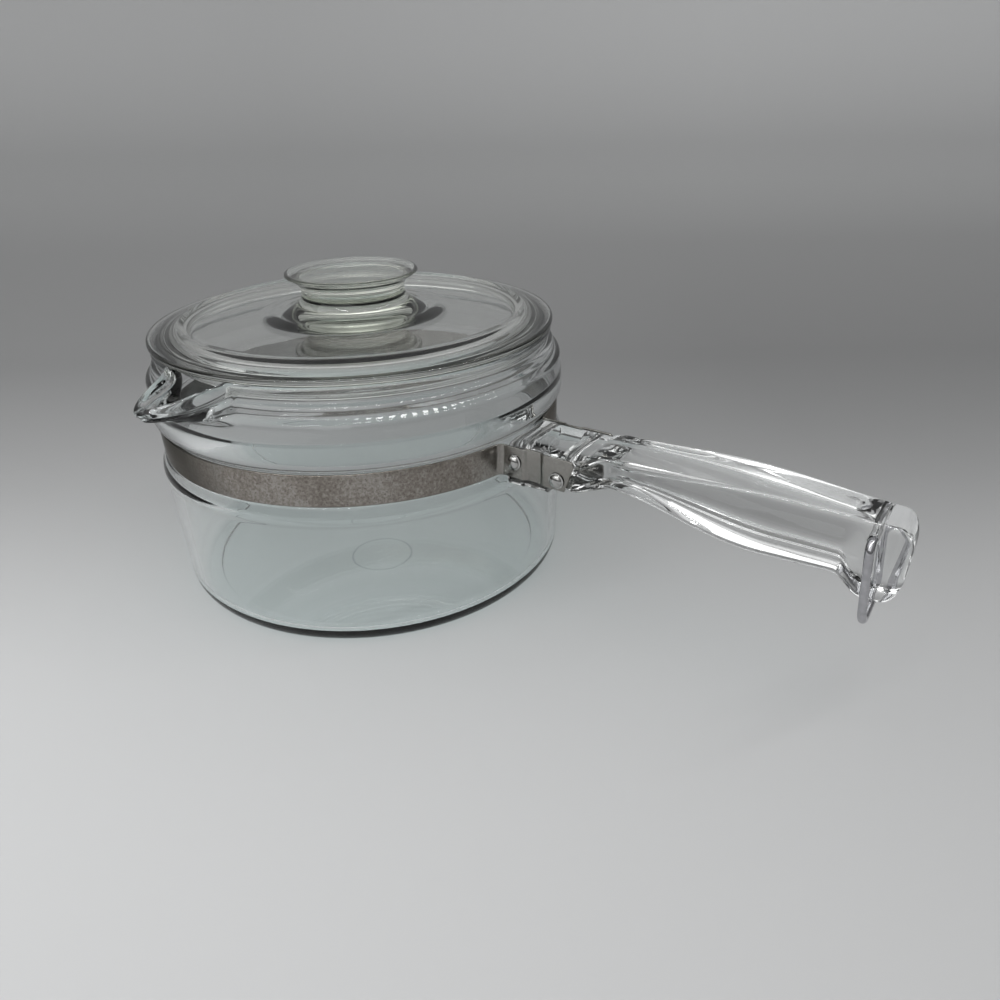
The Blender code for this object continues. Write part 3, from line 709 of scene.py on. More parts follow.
def pot_outside():
    """The pot's outside as (radius, height): base, heel, ridge, groove and bulge, up to the shoulder."""
    foot = eased([
        (0.0, FOOT_RISE),
        (FOOT_RADIUS - 2 * FOOT_RISE, FOOT_RISE),
        (FOOT_RADIUS, 0.0),
        (HEEL_RADIUS - HEEL_ROUND, 0.0),
    ], POT_CORNER)
    heel = round_arc((HEEL_RADIUS - HEEL_ROUND, HEEL_ROUND), HEEL_ROUND, -84, 0, 14)
    ridge = eased([
        heel[-1],
        (RIDGE_RADIUS - 0.25 * GROOVE_DEPTH, RIDGE_HEIGHT - 1.4 * GROOVE_DEPTH),
        (RIDGE_RADIUS, RIDGE_HEIGHT),
        (RIDGE_RADIUS - 0.3 * GROOVE_DEPTH, RIDGE_HEIGHT + 1.4 * GROOVE_DEPTH),
        (STRAP_SEAT_RADIUS + GROOVE_DEPTH, GROOVE_BOTTOM),
        (STRAP_SEAT_RADIUS, GROOVE_BOTTOM),
        (STRAP_SEAT_RADIUS, GROOVE_TOP),
        (BULGE_RADIUS - 0.43 * BULGE_ROUND, BULGE_HEIGHT - 0.82 * BULGE_ROUND),
    ], POT_CORNER)
    bulge = round_arc((BULGE_RADIUS - BULGE_ROUND, BULGE_HEIGHT), BULGE_ROUND, -50, 0, 10)
    face = []
    for step in range(1, 9):
        share = step / 9
        fall = (0.4 * share + 0.6 * share ** 2) * (BULGE_RADIUS - SHOULDER_RADIUS)
        face.append((BULGE_RADIUS - fall, BULGE_HEIGHT + share * BULGE_FACE))
    return foot + heel + ridge[1:-1] + bulge + face


def shoulder_rows():
    """The pot's stepped shoulder and neck; at the spout they become its underside and a notch below it."""
    upper = round_arc((SHOULDER_RADIUS - SHOULDER_ROUND, SHOULDER_HEIGHT), SHOULDER_ROUND, 0, 56, 8)
    step_centre = (STEP_RADIUS - SHOULDER_ROUND, SHOULDER_HEIGHT + 0.58 * SHOULDER_RISE)
    riser = eased([
        upper[-1],
        (STEP_RADIUS, SHOULDER_HEIGHT + 0.42 * SHOULDER_RISE),
        (step_centre[0] + SHOULDER_ROUND, step_centre[1]),
    ], STEP_CORNER)
    tread = arc(step_centre, (SHOULDER_ROUND, 0.9 * SHOULDER_ROUND), 12, 72, 9)
    neck = round_arc((NECK_RADIUS + NECK_ROUND, NECK_HEIGHT), NECK_ROUND, 235, 125, 9)
    outer = upper + riser[1:-1] + tread + neck
    reach = SPOUT_TIP - SHOULDER_RADIUS - 0.1 * SPOUT_LIP
    rise = SPOUT_HEIGHT - SHOULDER_HEIGHT
    under = arc((SHOULDER_RADIUS, SPOUT_HEIGHT), (reach, rise), -88, -36, len(outer) - len(neck))
    notch_centre = (SPOUT_TIP - 0.14 * SPOUT_LIP, SPOUT_HEIGHT - 2.1 * RIM_ROUND)
    under += arc(notch_centre, (0.48 * SPOUT_LIP, 0.7 * RIM_ROUND), 235, 125, len(neck))
    rows = []
    for index, (plain, drawn) in enumerate(zip(outer, under)):
        share = index / (len(outer) - 1)
        half_angle = SPOUT_HALF_ANGLE * (1.0 + SPOUT_SPREAD * (1.0 - smooth(share)))
        rows.append((*plain, *drawn, half_angle, SPOUT_ROLL * share ** 3))
    return rows


def rim_rows():
    """The pot's beaded rim; at the spout it becomes the rolled lip."""
    bead = round_arc((RIM_RADIUS - RIM_ROUND, RIM_HEIGHT - RIM_ROUND), RIM_ROUND, -25, 90, 12)
    inner_centre = (RIM_INSIDE + RIM_INNER_ROUND, RIM_HEIGHT - RIM_INNER_ROUND)
    bead += round_arc(inner_centre, RIM_INNER_ROUND, 90, 180, 9)
    lip_round = (SPOUT_LIP / 2, RIM_ROUND)
    lip = arc((SPOUT_TIP - SPOUT_LIP / 2, SPOUT_HEIGHT - lip_round[1]), lip_round, -30, 195, len(bead))
    rows = []
    for index, (plain, drawn) in enumerate(zip(bead, lip)):
        share = index / (len(bead) - 1)
        half_angle = SPOUT_HALF_ANGLE + share * (SPOUT_CHANNEL_HALF_ANGLE - SPOUT_HALF_ANGLE)
        rows.append((*plain, *drawn, half_angle, SPOUT_ROLL * (1.0 - math.sin(math.pi * share))))
    return rows


def throat_rows():
    """The pot's inside below the rim; at the spout it becomes the channel that runs out to the lip."""
    inside_shoulder = SHOULDER_RADIUS - WALL
    widening = inside_shoulder - RIM_INSIDE
    throat = bent([
        (RIM_INSIDE, NECK_HEIGHT),
        (RIM_INSIDE + 0.20 * widening, SHOULDER_HEIGHT + 0.70 * SHOULDER_RISE),
        (RIM_INSIDE + 0.62 * widening, SHOULDER_HEIGHT + 0.34 * SHOULDER_RISE),
        (inside_shoulder, SHOULDER_HEIGHT - 0.10 * SHOULDER_RISE),
    ], 5)
    channel_end = SPOUT_TIP - SPOUT_LIP
    channel = bent([
        (channel_end - 0.06 * SPOUT_REACH, SPOUT_HEIGHT - 0.75 * WALL),
        (channel_end - 0.38 * SPOUT_REACH, SPOUT_HEIGHT - 1.15 * WALL),
        (inside_shoulder + 0.10 * SPOUT_REACH, SHOULDER_HEIGHT + 0.95 * WALL),
        (inside_shoulder, SHOULDER_HEIGHT + 0.1 * SHOULDER_RISE),
    ], 5)
    rows = []
    for index, (plain, drawn) in enumerate(zip(throat, channel)):
        sink = SPOUT_ROLL * (1.0 - smooth(index / (len(throat) - 1)))
        rows.append((*plain, *drawn, SPOUT_CHANNEL_HALF_ANGLE, sink))
    return rows


def pot_inside():
    """The pot's inner wall and floor as (radius, height)."""
    wall = bent([
        (BULGE_RADIUS - WALL - 0.15 * GROOVE_DEPTH, BULGE_HEIGHT + 0.5 * BULGE_FACE),
        (STRAP_SEAT_RADIUS - WALL + 1.4 * GROOVE_DEPTH, BULGE_HEIGHT),
        (STRAP_SEAT_RADIUS - WALL + 0.2 * GROOVE_DEPTH, GROOVE_TOP - 0.3 * STRAP_WIDTH),
        (STRAP_SEAT_RADIUS - WALL, GROOVE_BOTTOM + 0.12 * STRAP_WIDTH),
        (RIDGE_RADIUS - WALL - 0.8 * GROOVE_DEPTH, RIDGE_HEIGHT),
    ], 5)
    floor_centre = (HEEL_RADIUS - WALL - FLOOR_ROUND, BASE_THICKNESS + FLOOR_ROUND)
    return wall + round_arc(floor_centre, FLOOR_ROUND, 0, -90, 12) + [(0.0, BASE_THICKNESS)]


def pot_section():
    """The pot's section: radius and height away from the spout, then what SPOUT_LABELS names."""
    rows = [(*point, *point, SPOUT_HALF_ANGLE, 0.0) for point in pot_outside()]
    rows += shoulder_rows() + rim_rows() + throat_rows()
    rows += [(*point, *point, SPOUT_CHANNEL_HALF_ANGLE, 0.0) for point in pot_inside()]
    return with_supports(rows)


def knob_line():
    """The knob's outline, from the middle of its dish over its edge and in to its waist."""
    line = bent([
        (0.0, KNOB_TOP - KNOB_DISH),
        (0.45 * KNOB_RADIUS, KNOB_TOP - KNOB_DISH),
        (0.84 * KNOB_RADIUS, KNOB_TOP - 0.8 * KNOB_DISH),
        (0.95 * KNOB_RADIUS, KNOB_TOP),
    ], 5)
    line += round_arc((KNOB_RADIUS - KNOB_EDGE, KNOB_TOP - KNOB_EDGE), KNOB_EDGE, 75, -45, 10)
    return line + bent([
        (KNOB_RADIUS - 0.12 * KNOB_UNDERCUT, KNOB_TOP - 0.20 * KNOB_DROP),
        (KNOB_WAIST_RADIUS + 0.35 * KNOB_UNDERCUT, KNOB_TOP - 0.46 * KNOB_DROP),
        (KNOB_WAIST_RADIUS + 0.08 * KNOB_UNDERCUT, KNOB_TOP - 0.70 * KNOB_DROP),
        (KNOB_WAIST_RADIUS, KNOB_WAIST_HEIGHT),
    ], 6)


def lid_top():
    """The lid's upper face, from the knob's foot over the sunk panel, the step and the flange to its edge."""
    foot = (KNOB_BASE_RADIUS - KNOB_WAIST_RADIUS, KNOB_WAIST_HEIGHT - KNOB_BASE_HEIGHT)
    line = arc((KNOB_BASE_RADIUS, KNOB_WAIST_HEIGHT), foot, 190, 262, 14)
    line += eased([
        line[-1],
        (KNOB_BASE_RADIUS, KNOB_BASE_HEIGHT),
        (KNOB_BASE_RADIUS + 5.5 * KNOB_BASE_RISE, LID_PANEL_TOP),
        (LID_STEP_RADIUS - 3.0 * LID_STEP_DROP, LID_PANEL_TOP),
        (LID_STEP_RADIUS, LID_CROWN),
    ], LID_PANEL_CORNER)[1:]
    edge_top = LID_HEIGHT + LID_EDGE
    corner = LID_RADIUS - LID_EDGE_ROUND
    for step in range(1, 10):
        share = step / 10
        fall = math.sin(0.5 * math.pi * share)
        radius = LID_STEP_RADIUS + share * (corner - LID_STEP_RADIUS)
        line.append((radius, LID_CROWN - fall * (LID_CROWN - edge_top)))
    return line + round_arc((corner, edge_top - LID_EDGE_ROUND), LID_EDGE_ROUND, 90, 0, 9)


def lid_underside(edge):
    """The lid's lower face, from a point on its edge under the flange and round the skirt to the middle."""
    round_end = SKIRT_THICKNESS / 2
    end_centre = (SKIRT_RADIUS - round_end, SKIRT_BOTTOM + round_end)
    line = eased([
        edge,
        (LID_RADIUS, LID_HEIGHT + 0.25 * LID_EDGE),
        (LID_RADIUS - 0.25 * LID_EDGE, LID_HEIGHT),
        (SKIRT_RADIUS + SKIRT_PLAY, LID_HEIGHT),
        (SKIRT_RADIUS, LID_HEIGHT - SKIRT_PLAY),
        (SKIRT_RADIUS, end_centre[1]),
    ], LID_FLANGE_CORNER)[1:-1]
    line += round_arc(end_centre, round_end, 0, -180, 16)
    inside = SKIRT_RADIUS - SKIRT_THICKNESS
    return line + eased([
        line[-1],
        (inside - 0.5 * LID_STEP_DROP, LID_PANEL_BOTTOM - 0.8 * LID_STEP_DROP),
        (inside - 7.0 * LID_STEP_DROP, LID_PANEL_BOTTOM),
        (0.0, LID_PANEL_BOTTOM),
    ], SKIRT_CORNER)[1:]


def lid_section():
    """The lid's section, from the knob's dish down over the flange, under the skirt and back in."""
    line = knob_line() + lid_top()
    return with_supports(line + lid_underside(line[-1]))


def rivet_section():
    """Half a rivet's outline turned about its own axis: head, shank, head."""
    brim = RIVET_HEAD_SEAT + RIVET_BRIM
    dome = arc((0.0, brim), (0.80 * RIVET_HEAD_RADIUS, RIVET_HEAD_HEIGHT - RIVET_BRIM), 90, 4, 16)
    half = dome + eased([
        dome[-1],
        (0.82 * RIVET_HEAD_RADIUS, brim),
        (RIVET_HEAD_RADIUS, RIVET_HEAD_SEAT + 0.7 * RIVET_BRIM),
        (RIVET_HEAD_RADIUS, RIVET_HEAD_SEAT),
        (RIVET_RADIUS, RIVET_HEAD_SEAT),
    ], RIVET_CORNER)[1:]
    return half + [(radius, -height) for radius, height in reversed(half)]


def handle_outline(bottom, top, half_top, half_bottom, top_round, bottom_round, flute=0.0):
    """The handle's outline across its length, as (y, z) points; a flute hollows its sides above a rib."""
    right = [(0.0, top)]
    right += arc((half_top - top_round[0], top - top_round[1]), top_round, 90, 0, 12)
    side_start = (half_top, top - top_round[1])
    side_end = (half_bottom, bottom + bottom_round)
    for share, hollow in FLUTE_PROFILE:
        y, z = (a + (b - a) * share for a, b in zip(side_start, side_end))
        right.append((y - hollow * flute, z))
    right += round_arc((half_bottom - bottom_round, bottom + bottom_round), bottom_round, 0, -90, 14)
    left = [(-y, z) for y, z in reversed(right[1:])]
    return right + [(0.0, bottom)] + left


def tongue_outlines():
    """Outlines of the part between the ears, as (x, slant, outline)."""
    side = EAR_SPREAD - GAP
    waist = side - CHANNEL_DEPTH
    channel = EAR_START + CHANNEL_START
    room = 1.5 * CHANNEL_DEPTH + GAP
    end = EAR_END + SHOULDER_GAP
    deep = TONGUE_DEEP_BOTTOM
    shallow = TONGUE_BOTTOM
    keys = (
        (RIDGE_RADIUS - 0.1 * EAR_LENGTH, side, deep, 0.0),
        (channel - room - CHANNEL_DEPTH, side, deep, 0.0),
        (channel - room, waist, deep, 0.0),
        (TONGUE_STEP_X, waist, deep, 0.0),
        (TONGUE_STEP_X + 0.25 * (shallow - deep), waist, shallow, 0.0),
        (channel + CHANNEL_WIDTH + room, waist, shallow, 0.0),
        (channel + CHANNEL_WIDTH + room + CHANNEL_DEPTH, side, shallow, 0.0),
        (RIVET_PLACES[1].x + 2 * RIVET_RADIUS, side, shallow, 0.4 * EAR_SLANT),
        (end - SHOULDER_STEP, side, shallow, EAR_SLANT),
    )
    outlines = []
    for x, width, bottom, slant in keys:
        crest = (width - TONGUE_CREST_HALF_WIDTH, TONGUE_CREST_DROP)
        outline = handle_outline(bottom, TONGUE_TOP, width, width, crest, TONGUE_ROUND)
        outlines.append((x, slant, outline))
    return outlines, end


def grip_outlines(start):
    """Outlines of the grip from its shoulder to its rounded end, as (x, slant, outline)."""
    length = HANDLE_REACH - start
    side_keys = (
        (start, GRIP_SHOULDER_HALF_WIDTH),
        (start + GRIP_NECK * length, GRIP_NECK_HALF_WIDTH),
        (start + GRIP_PALM * length, GRIP_PALM_HALF_WIDTH),
        (HANDLE_REACH, GRIP_END_HALF_WIDTH),
    )
    top_keys = (
        (start, GRIP_SHOULDER_TOP),
        (start + GRIP_CREST * length, GRIP_PALM_TOP),
        (HANDLE_REACH, GRIP_END_TOP),
    )
    recess = RING_PIVOT.x - GRIP_RECESS * length
    bottom_keys = (
        (start, TONGUE_BOTTOM),
        (start + GRIP_NECK * length, GRIP_NECK_BOTTOM),
        (start + GRIP_BELLY * length, GRIP_PALM_BOTTOM),
        (recess, GRIP_PALM_BOTTOM),
        (RING_PIVOT.x, GRIP_END_BOTTOM),
    )
    outlines = []
    body = length - GRIP_CAP
    for step in range(GRIP_SECTIONS):
        share = step / (GRIP_SECTIONS - 1)
        x = start + body * share
        half = through(side_keys, x)
        top = through(top_keys, x)
        bottom = through(bottom_keys, x)
        slant = EAR_SLANT * (1.0 - smooth((x - start) / (GRIP_SLANT_FADE * length)))
        rise = smooth((x - start) / (GRIP_RISE * length))
        top -= 0.5 * (top - TONGUE_TOP) * (1.0 - rise)
        near = 1.0 - smooth((x - start) / (GRIP_SHOULDER_FADE * length))
        top_round = (GRIP_TOP_ROUND + near * (GRIP_SHOULDER_ROUND - GRIP_TOP_ROUND),) * 2
        flute = GRIP_FLUTE * smooth((x - start) / (FLUTE_FADE_IN * length))
        flute *= 1.0 - smooth((x - recess) / (FLUTE_FADE_OUT * length))
        outline = handle_outline(bottom, top, half - GRIP_FLARE, half, top_round, GRIP_BOTTOM_ROUND, flute)
        outlines.append((x, slant, outline))
    middle = 0.5 * (GRIP_END_TOP + GRIP_END_BOTTOM)
    last = outlines[-1][2]
    for turn in END_TURNS:
        angle = math.radians(turn)
        shrink = END_FLAT + END_ROUND * math.cos(angle)
        outline = [(y * shrink, middle + (z - middle) * shrink) for y, z in last]
        outlines.append((start + body + GRIP_CAP * math.sin(angle), 0.0, outline))
    return outlines, middle


def make_handle(material):
    """The glass handle, hollowed to the pot's round and drilled for the rivets and the ring."""
    tongue, start = tongue_outlines()
    grip, middle = grip_outlines(start)
    rings = []
    for x, slant, outline in tongue + grip:
        rings.append([(x + slant * (z - STRAP_MIDDLE), y, z) for y, z in outline])
    rings.append([(HANDLE_REACH, 0.0, middle)])
    handle = skin("glass_handle", rings)
    front = circle((0.0, 0.0), RIDGE_RADIUS + GAP, LID_COLUMNS)
    across = 4 * GRIP_PALM_HALF_WIDTH
    cutters = [skin("hollow", [[(x, y, height) for x, y in front] for height in (0.0, RIM_HEIGHT)])]
    cutters += [cross_hole(place, RIVET_RADIUS + GAP, across) for place in RIVET_PLACES]
    cutters.append(cross_hole(RING_PIVOT, RING_WIRE_RADIUS + GAP, across))
    cut_away(handle, cutters)
    set_finish(handle, material, "pan", "handle_glass", "handle")


def strap_path():
    """Middle line of the strap from above, as (x, y, place), the place being the distance along an ear."""
    leave = math.atan2(EAR_BEND_Y, EAR_BEND_X)
    channel = EAR_START + CHANNEL_START
    corners = eased([
        (EAR_START, EAR_LINE),
        (channel - CHANNEL_SLOPE, EAR_LINE),
        (channel, EAR_LINE - CHANNEL_DEPTH),
        (channel + CHANNEL_WIDTH, EAR_LINE - CHANNEL_DEPTH),
        (channel + CHANNEL_WIDTH + CHANNEL_SLOPE, EAR_LINE),
        (EAR_END - EAR_CORNER, EAR_LINE),
    ], CHANNEL_CORNER)
    ear = [(x, y, x - EAR_START) for x, y in corners[1:]]
    for step in range(1, EAR_CORNER_STEPS + 1):
        place = EAR_LENGTH - EAR_CORNER * math.cos(0.5 * math.pi * step / EAR_CORNER_STEPS)
        ear.append((EAR_START + place, EAR_LINE, place))
    turn = 90 - math.degrees(leave)
    bend = [(x, y, 0.0) for x, y in round_arc((EAR_BEND_X, -EAR_BEND_Y), EAR_BEND, 90, 90 + turn, 12)]
    path = [(x, -y, place) for x, y, place in reversed(ear)] + bend
    span = 2 * math.pi - 2 * leave
    for step in range(1, STRAP_STEPS):
        angle = -leave - span * step / STRAP_STEPS
        path.append((STRAP_MIDDLE_RADIUS * math.cos(angle), STRAP_MIDDLE_RADIUS * math.sin(angle), 0.0))
    return path + [(x, -y, 0.0) for x, y, place in reversed(bend)] + ear


def make_strap(material):
    """The steel strap round the pot, whose two ends stand out as ears beside the handle."""
    path = strap_path()
    last = len(path) - 1
    half = STRAP_THICKNESS / 2
    edge = STRAP_EDGE_ROUND
    flat_end = EAR_LENGTH - CHANNEL_START - CHANNEL_WIDTH
    rings = []
    for index, (x, y, place) in enumerate(path):
        before = Vector(path[max(index - 1, 0)][:2])
        after = Vector(path[min(index + 1, last)][:2])
        along = (after - before).normalized()
        aside = Vector((along.y, -along.x))
        ease = smooth((place - CHANNEL_START - CHANNEL_WIDTH) / flat_end)
        short = max(0.0, place - (EAR_LENGTH - EAR_CORNER))
        corner = EAR_CORNER - math.sqrt(max(0.0, EAR_CORNER ** 2 - short ** 2))
        top = STRAP_HIGH - min(corner, 0.9 * EAR_CORNER)
        outline = round_arc((half - edge, STRAP_LOW + edge), edge, -90, 0, 4)
        outline += round_arc((half - edge, top - edge), edge, 0, 90, 4)
        outline += round_arc((edge - half, top - edge), edge, 90, 180, 4)
        outline += round_arc((edge - half, STRAP_LOW + edge), edge, 180, 270, 4)
        ring = []
        for side, height in outline:
            lean = EAR_SLANT * ease * (height - STRAP_MIDDLE)
            ring.append((x + side * aside.x + lean, y + side * aside.y, height))
        rings.append(ring)
    strap = skin("steel_strap", rings)
    across = 2 * (EAR_SPREAD + STRAP_THICKNESS) + 4 * RIVET_HEAD_HEIGHT
    cut_away(strap, [cross_hole(place, RIVET_RADIUS + GAP, across) for place in RIVET_PLACES])
    set_finish(strap, material, "pan", "strap_steel", "strap")


def make_pot(material):
    """The pot, turned from its section and drawn out into the spout."""
    source = section_object("pot_section", pot_section(), SPOUT_LABELS)
    settings = {
        "Columns": POT_COLUMNS,
        "Middle Radius": STEP_RADIUS,
        "Crowding": POT_CROWDING,
        "Finish": material,
    }
    pot = run_tree(turning_tree(True), source, "glass_pot", settings)
    set_finish(pot, material, "pan", "pot_glass", "pot")


def make_lid(tree, material):
    """The lid, turned in one with its knob."""
    source = section_object("lid_section", lid_section())
    settings = {"Columns": LID_COLUMNS, "Middle Radius": KNOB_BASE_RADIUS, "Finish": material}
    lid = run_tree(tree, source, "glass_lid", settings)
    set_finish(lid, material, "lid", "lid_glass", "lid")


def make_rivets(tree, material):
    """Both rivets: one is turned and laid across the handle, then set at each rivet's place."""
    source = section_object("rivet_section", rivet_section())
    settings = {"Columns": RIVET_COLUMNS, "Middle Radius": RIVET_HEAD_RADIUS, "Finish": material}
    rivet = run_tree(tree, source, "one_rivet", settings)
    rivet.data.transform(Matrix.Rotation(math.pi / 2, 4, "X"))
    places = flat_object("rivet_places", RIVET_PLACES)
    rivets = run_tree(rivet_set_tree(), places, "rivets", {"Rivet": rivet, "Finish": material})
    bpy.data.objects.remove(rivet)
    rivets.data.set_sharp_from_angle(angle=SMOOTH_ANGLE)
    set_finish(rivets, material, "pan", "rivet_steel", "front_rivet", "rear_rivet")


def make_ring(material):
    """The hanging ring: a wire bail whose turned-in tips lie in the handle's cross hole."""
    tip = RING_HALF_WIDTH - RING_TIP_LENGTH
    half = [(tip, 0.0), (0.5 * (tip + RING_HALF_WIDTH - RING_TOP_BEND), 0.0)]
    half += round_arc((RING_HALF_WIDTH - RING_TOP_BEND, -RING_TOP_BEND), RING_TOP_BEND, 90, 0, 14)
    half += round_arc((RING_HALF_WIDTH - RING_BEND, -RING_DROP + RING_BEND), RING_BEND, 0, -90, 16)
    line = half + [(-y, z) for y, z in reversed(half)]
    lean = Matrix.Rotation(-RING_LEAN, 3, "Y")
    source = chain_object("ring_line", [RING_PIVOT + lean @ Vector((0.0, y, z)) for y, z in line])
    settings = {"Wire Radius": RING_WIRE_RADIUS, "Sides": WIRE_SIDES, "Finish": material}
    ring = run_tree(wire_tree(), source, "wire_ring", settings)
    ring.data.set_sharp_from_angle(angle=SMOOTH_ANGLE)
    set_finish(ring, material, "ring", "ring_chrome", "hanging_ring")


def new_finish(name):
    """A material, its node tree and its main shader."""
    material = bpy.data.materials.new(name)
    material.use_nodes = True
    return material, material.node_tree, material.node_tree.nodes["Principled BSDF"]


def own_place(tree):
    """A piece's own coordinates."""
    return place_node(tree, "ShaderNodeTexCoord").outputs["Object"]


def surface_noise(tree, scale, detail, stretch=(1.0, 1.0, 1.0)):
    """Noise laid on a piece's own coordinates."""
    spread = made_by(tree, "ShaderNodeMapping", {"Vector": own_place(tree), "Scale": stretch})
    noise = place_node(tree, "ShaderNodeTexNoise", {"Vector": spread, "Scale": scale, "Detail": detail})
    return noise.outputs["Fac"]


def ranged(tree, value, low, high, to_low, to_high):
    """Carry a value from one range into another, held at its ends."""
    limits = {"From Min": low, "From Max": high, "To Min": to_low, "To Max": to_high}
    return made_by(tree, "ShaderNodeMapRange", {"Value": value, **limits})


def along_way(tree, place, way):
    """How far along a way a place lies."""
    node = place_node(tree, "ShaderNodeVectorMath", {0: place, 1: way}, operation="DOT_PRODUCT")
    return node.outputs["Value"]


def mixed(tree, share, first, second):
    """A colour that runs from the first to the second with the share."""
    colours = {}
    for key, colour in (("A", first), ("B", second)):
        colours[key] = (*colour, 1.0) if isinstance(colour, tuple) else colour
    mix = place_node(tree, "ShaderNodeMix", {"Factor": share, **colours}, data_type="RGBA")
    return mix.outputs["Result"]


def colour_ramp(tree, share, stops, blend="LINEAR"):
    """Colours that follow a share, each stop being (place, colour), the first and last of them at 0 and 1."""
    node = place_node(tree, "ShaderNodeValToRGB", {"Fac": share})
    ramp = node.color_ramp
    ramp.interpolation = blend
    for end in (0, -1):
        ramp.elements[end].color = (*stops[end][1], 1.0)
    for place, colour in stops[1:-1]:
        ramp.elements.new(place).color = (*colour, 1.0)
    return node.outputs[0]


def base_mark_shade(tree):
    """A faint moulded ring under the pot's base, where a darker line of painted shade stands in for its
    relief.
    """
    place = own_place(tree)
    flat = {0: place, 1: (1.0, 1.0, 0.0)}
    flat = {0: made_by(tree, "ShaderNodeVectorMath", flat, operation="MULTIPLY"), 1: BASE_MARK_PLACE}
    away = place_node(tree, "ShaderNodeVectorMath", flat, operation="DISTANCE").outputs["Value"]
    off_line = arithmetic(tree, "ABSOLUTE", arithmetic(tree, "SUBTRACT", away, BASE_MARK_RADIUS))
    height = place_node(tree, "ShaderNodeSeparateXYZ", {0: place}).outputs[2]
    under = arithmetic(tree, "LESS_THAN", height, 2 * FOOT_RISE)
    return arithmetic(tree, "MULTIPLY", under, ranged(tree, off_line, 0.0, BASE_MARK_LINE, 1.0, 0.0))


def glass_finish(name, tint, cast, density, wave, marked=False):
    """Moulded clear glass: a faint waviness, light handling marks and a cast that deepens with thickness."""
    material, tree, shader = new_finish(name)
    ripple = surface_noise(tree, *RIPPLE_NOISE)
    grain = surface_noise(tree, *GRAIN_NOISE)
    relief = arithmetic(tree, "MULTIPLY_ADD", grain, GRAIN_SHARE, ripple)
    marks = surface_noise(tree, *MARKS_NOISE, MARKS_STRETCH)
    bump = {"Strength": wave, "Distance": RIPPLE_HEIGHT, "Height": relief}
    feed(tree, shader, {
        # With marked, a ring of painted shade darkens the tint under the base
        "Base Color": mixed(tree, base_mark_shade(tree), tint, BASE_MARK_SHADE_COLOUR) if marked else (*tint, 1.0),
        "IOR": GLASS_INDEX,
        "Transmission Weight": 1.0,
        "Normal": made_by(tree, "ShaderNodeBump", bump),
        "Roughness": ranged(tree, marks, *MARKS_RANGE, *MARKS_ROUGHNESS),
    })
    path = place_node(tree, "ShaderNodeLightPath").outputs
    lamp_ray = arithmetic(tree, "MAXIMUM", path["Is Shadow Ray"], path["Is Diffuse Ray"])
    clear = made_by(tree, "ShaderNodeBsdfTransparent", {"Color": (*GLASS_LETS_THROUGH, 1.0)})
    depth = {"Color": (*cast, 1.0), "Density": density}
    feed(tree, tree.nodes["Material Output"], {
        "Surface": made_by(tree, "ShaderNodeMixShader", {0: lamp_ray, 1: shader.outputs[0], 2: clear}),
        "Volume": made_by(tree, "ShaderNodeVolumeAbsorption", depth),
    })
    return material


def strap_finish():
    """Satin stainless strip with brown-grey heat tarnish, rubbed lines along it, small dark specks and a dark
    reflection painted on one side.
    """
    material, tree, shader = new_finish("strap_steel")
    broad = surface_noise(tree, *CLOUD_NOISE)
    mottle = arithmetic(tree, "MULTIPLY", surface_noise(tree, *MOTTLE_NOISE), 1.0 - CLOUD_SHARE)
    cloud = arithmetic(tree, "MULTIPLY_ADD", broad, CLOUD_SHARE, mottle)
    colour = colour_ramp(tree, ranged(tree, cloud, *CLOUD_RANGE, 0.0, 1.0), TARNISH_COLOURS)
    speck = ranged(tree, surface_noise(tree, *SPECK_NOISE), *SPECK_RANGE, 0.0, SPECK_STRENGTH)
    colour = mixed(tree, speck, colour, SPECK_COLOUR)
    place = own_place(tree)
    # Painted reflection: the strap darkens towards one side, standing in for the dark room it mirrors there
    aside = along_way(tree, place, PAINTED_REFLECTION_SIDE)
    aside = arithmetic(tree, "MULTIPLY_ADD", broad, PAINTED_REFLECTION_WANDER, aside)
    colour = mixed(tree, ranged(tree, aside, *PAINTED_REFLECTION_REACH, 0.0, PAINTED_REFLECTION_STRENGTH), colour, PAINTED_REFLECTION_COLOUR)
    outward = made_by(tree, "ShaderNodeSeparateXYZ", {0: place})
    clean = ranged(tree, outward, EAR_START - EAR_BEND, EAR_START + EAR_BEND, 0.0, CLEAN_STRENGTH)
    lines = surface_noise(tree, *RUBBED_NOISE, RUBBED_STRETCH)
    bump = {"Strength": RUBBED_STRENGTH, "Distance": RUBBED_HEIGHT, "Height": lines}
    feed(tree, shader, {
        "Base Color": mixed(tree, clean, colour, CLEAN_COLOUR),
        "Metallic": 1.0,
        "Specular Tint": (*STRAP_GLINT, 1.0),
        "Roughness": ranged(tree, lines, *RUBBED_RANGE, *RUBBED_ROUGHNESS),
        "Normal": made_by(tree, "ShaderNodeBump", bump),
    })
    return material


def polished_finish(name, dull, bright, wear_noise):
    """Polished metal with a little wear, seen in its tone and its gloss."""
    material, tree, shader = new_finish(name)
    wear = surface_noise(tree, *wear_noise)
    feed(tree, shader, {
        "Base Color": mixed(tree, ranged(tree, wear, *WEAR_TONE_RANGE, 0.0, 1.0), dull, bright),
        "Metallic": 1.0,
        "Roughness": ranged(tree, wear, *WEAR_GLOSS_RANGE, *WEAR_ROUGHNESS),
    })
    return material


def painted_sweep_stops(floor_share, back_share):
    """The sweep's greys with their painted light and shade, from near to far, times a share that changes from
    the floor to the backdrop.
    """
    stops = []
    for ahead, grey in SWEEP_PAINTED_TONES:
        rise = smooth((ahead - SWEEP_RIGHT_TURN[0]) / (SWEEP_RIGHT_TURN[1] - SWEEP_RIGHT_TURN[0]))
        grey *= floor_share + (back_share - floor_share) * rise
        place = (ahead - SWEEP_NEAR) / (SWEEP_FAR - SWEEP_NEAR)
        stops.append((place, tuple(grey * part for part in SWEEP_CAST)))
    return stops + [(1.0, WHITE)]


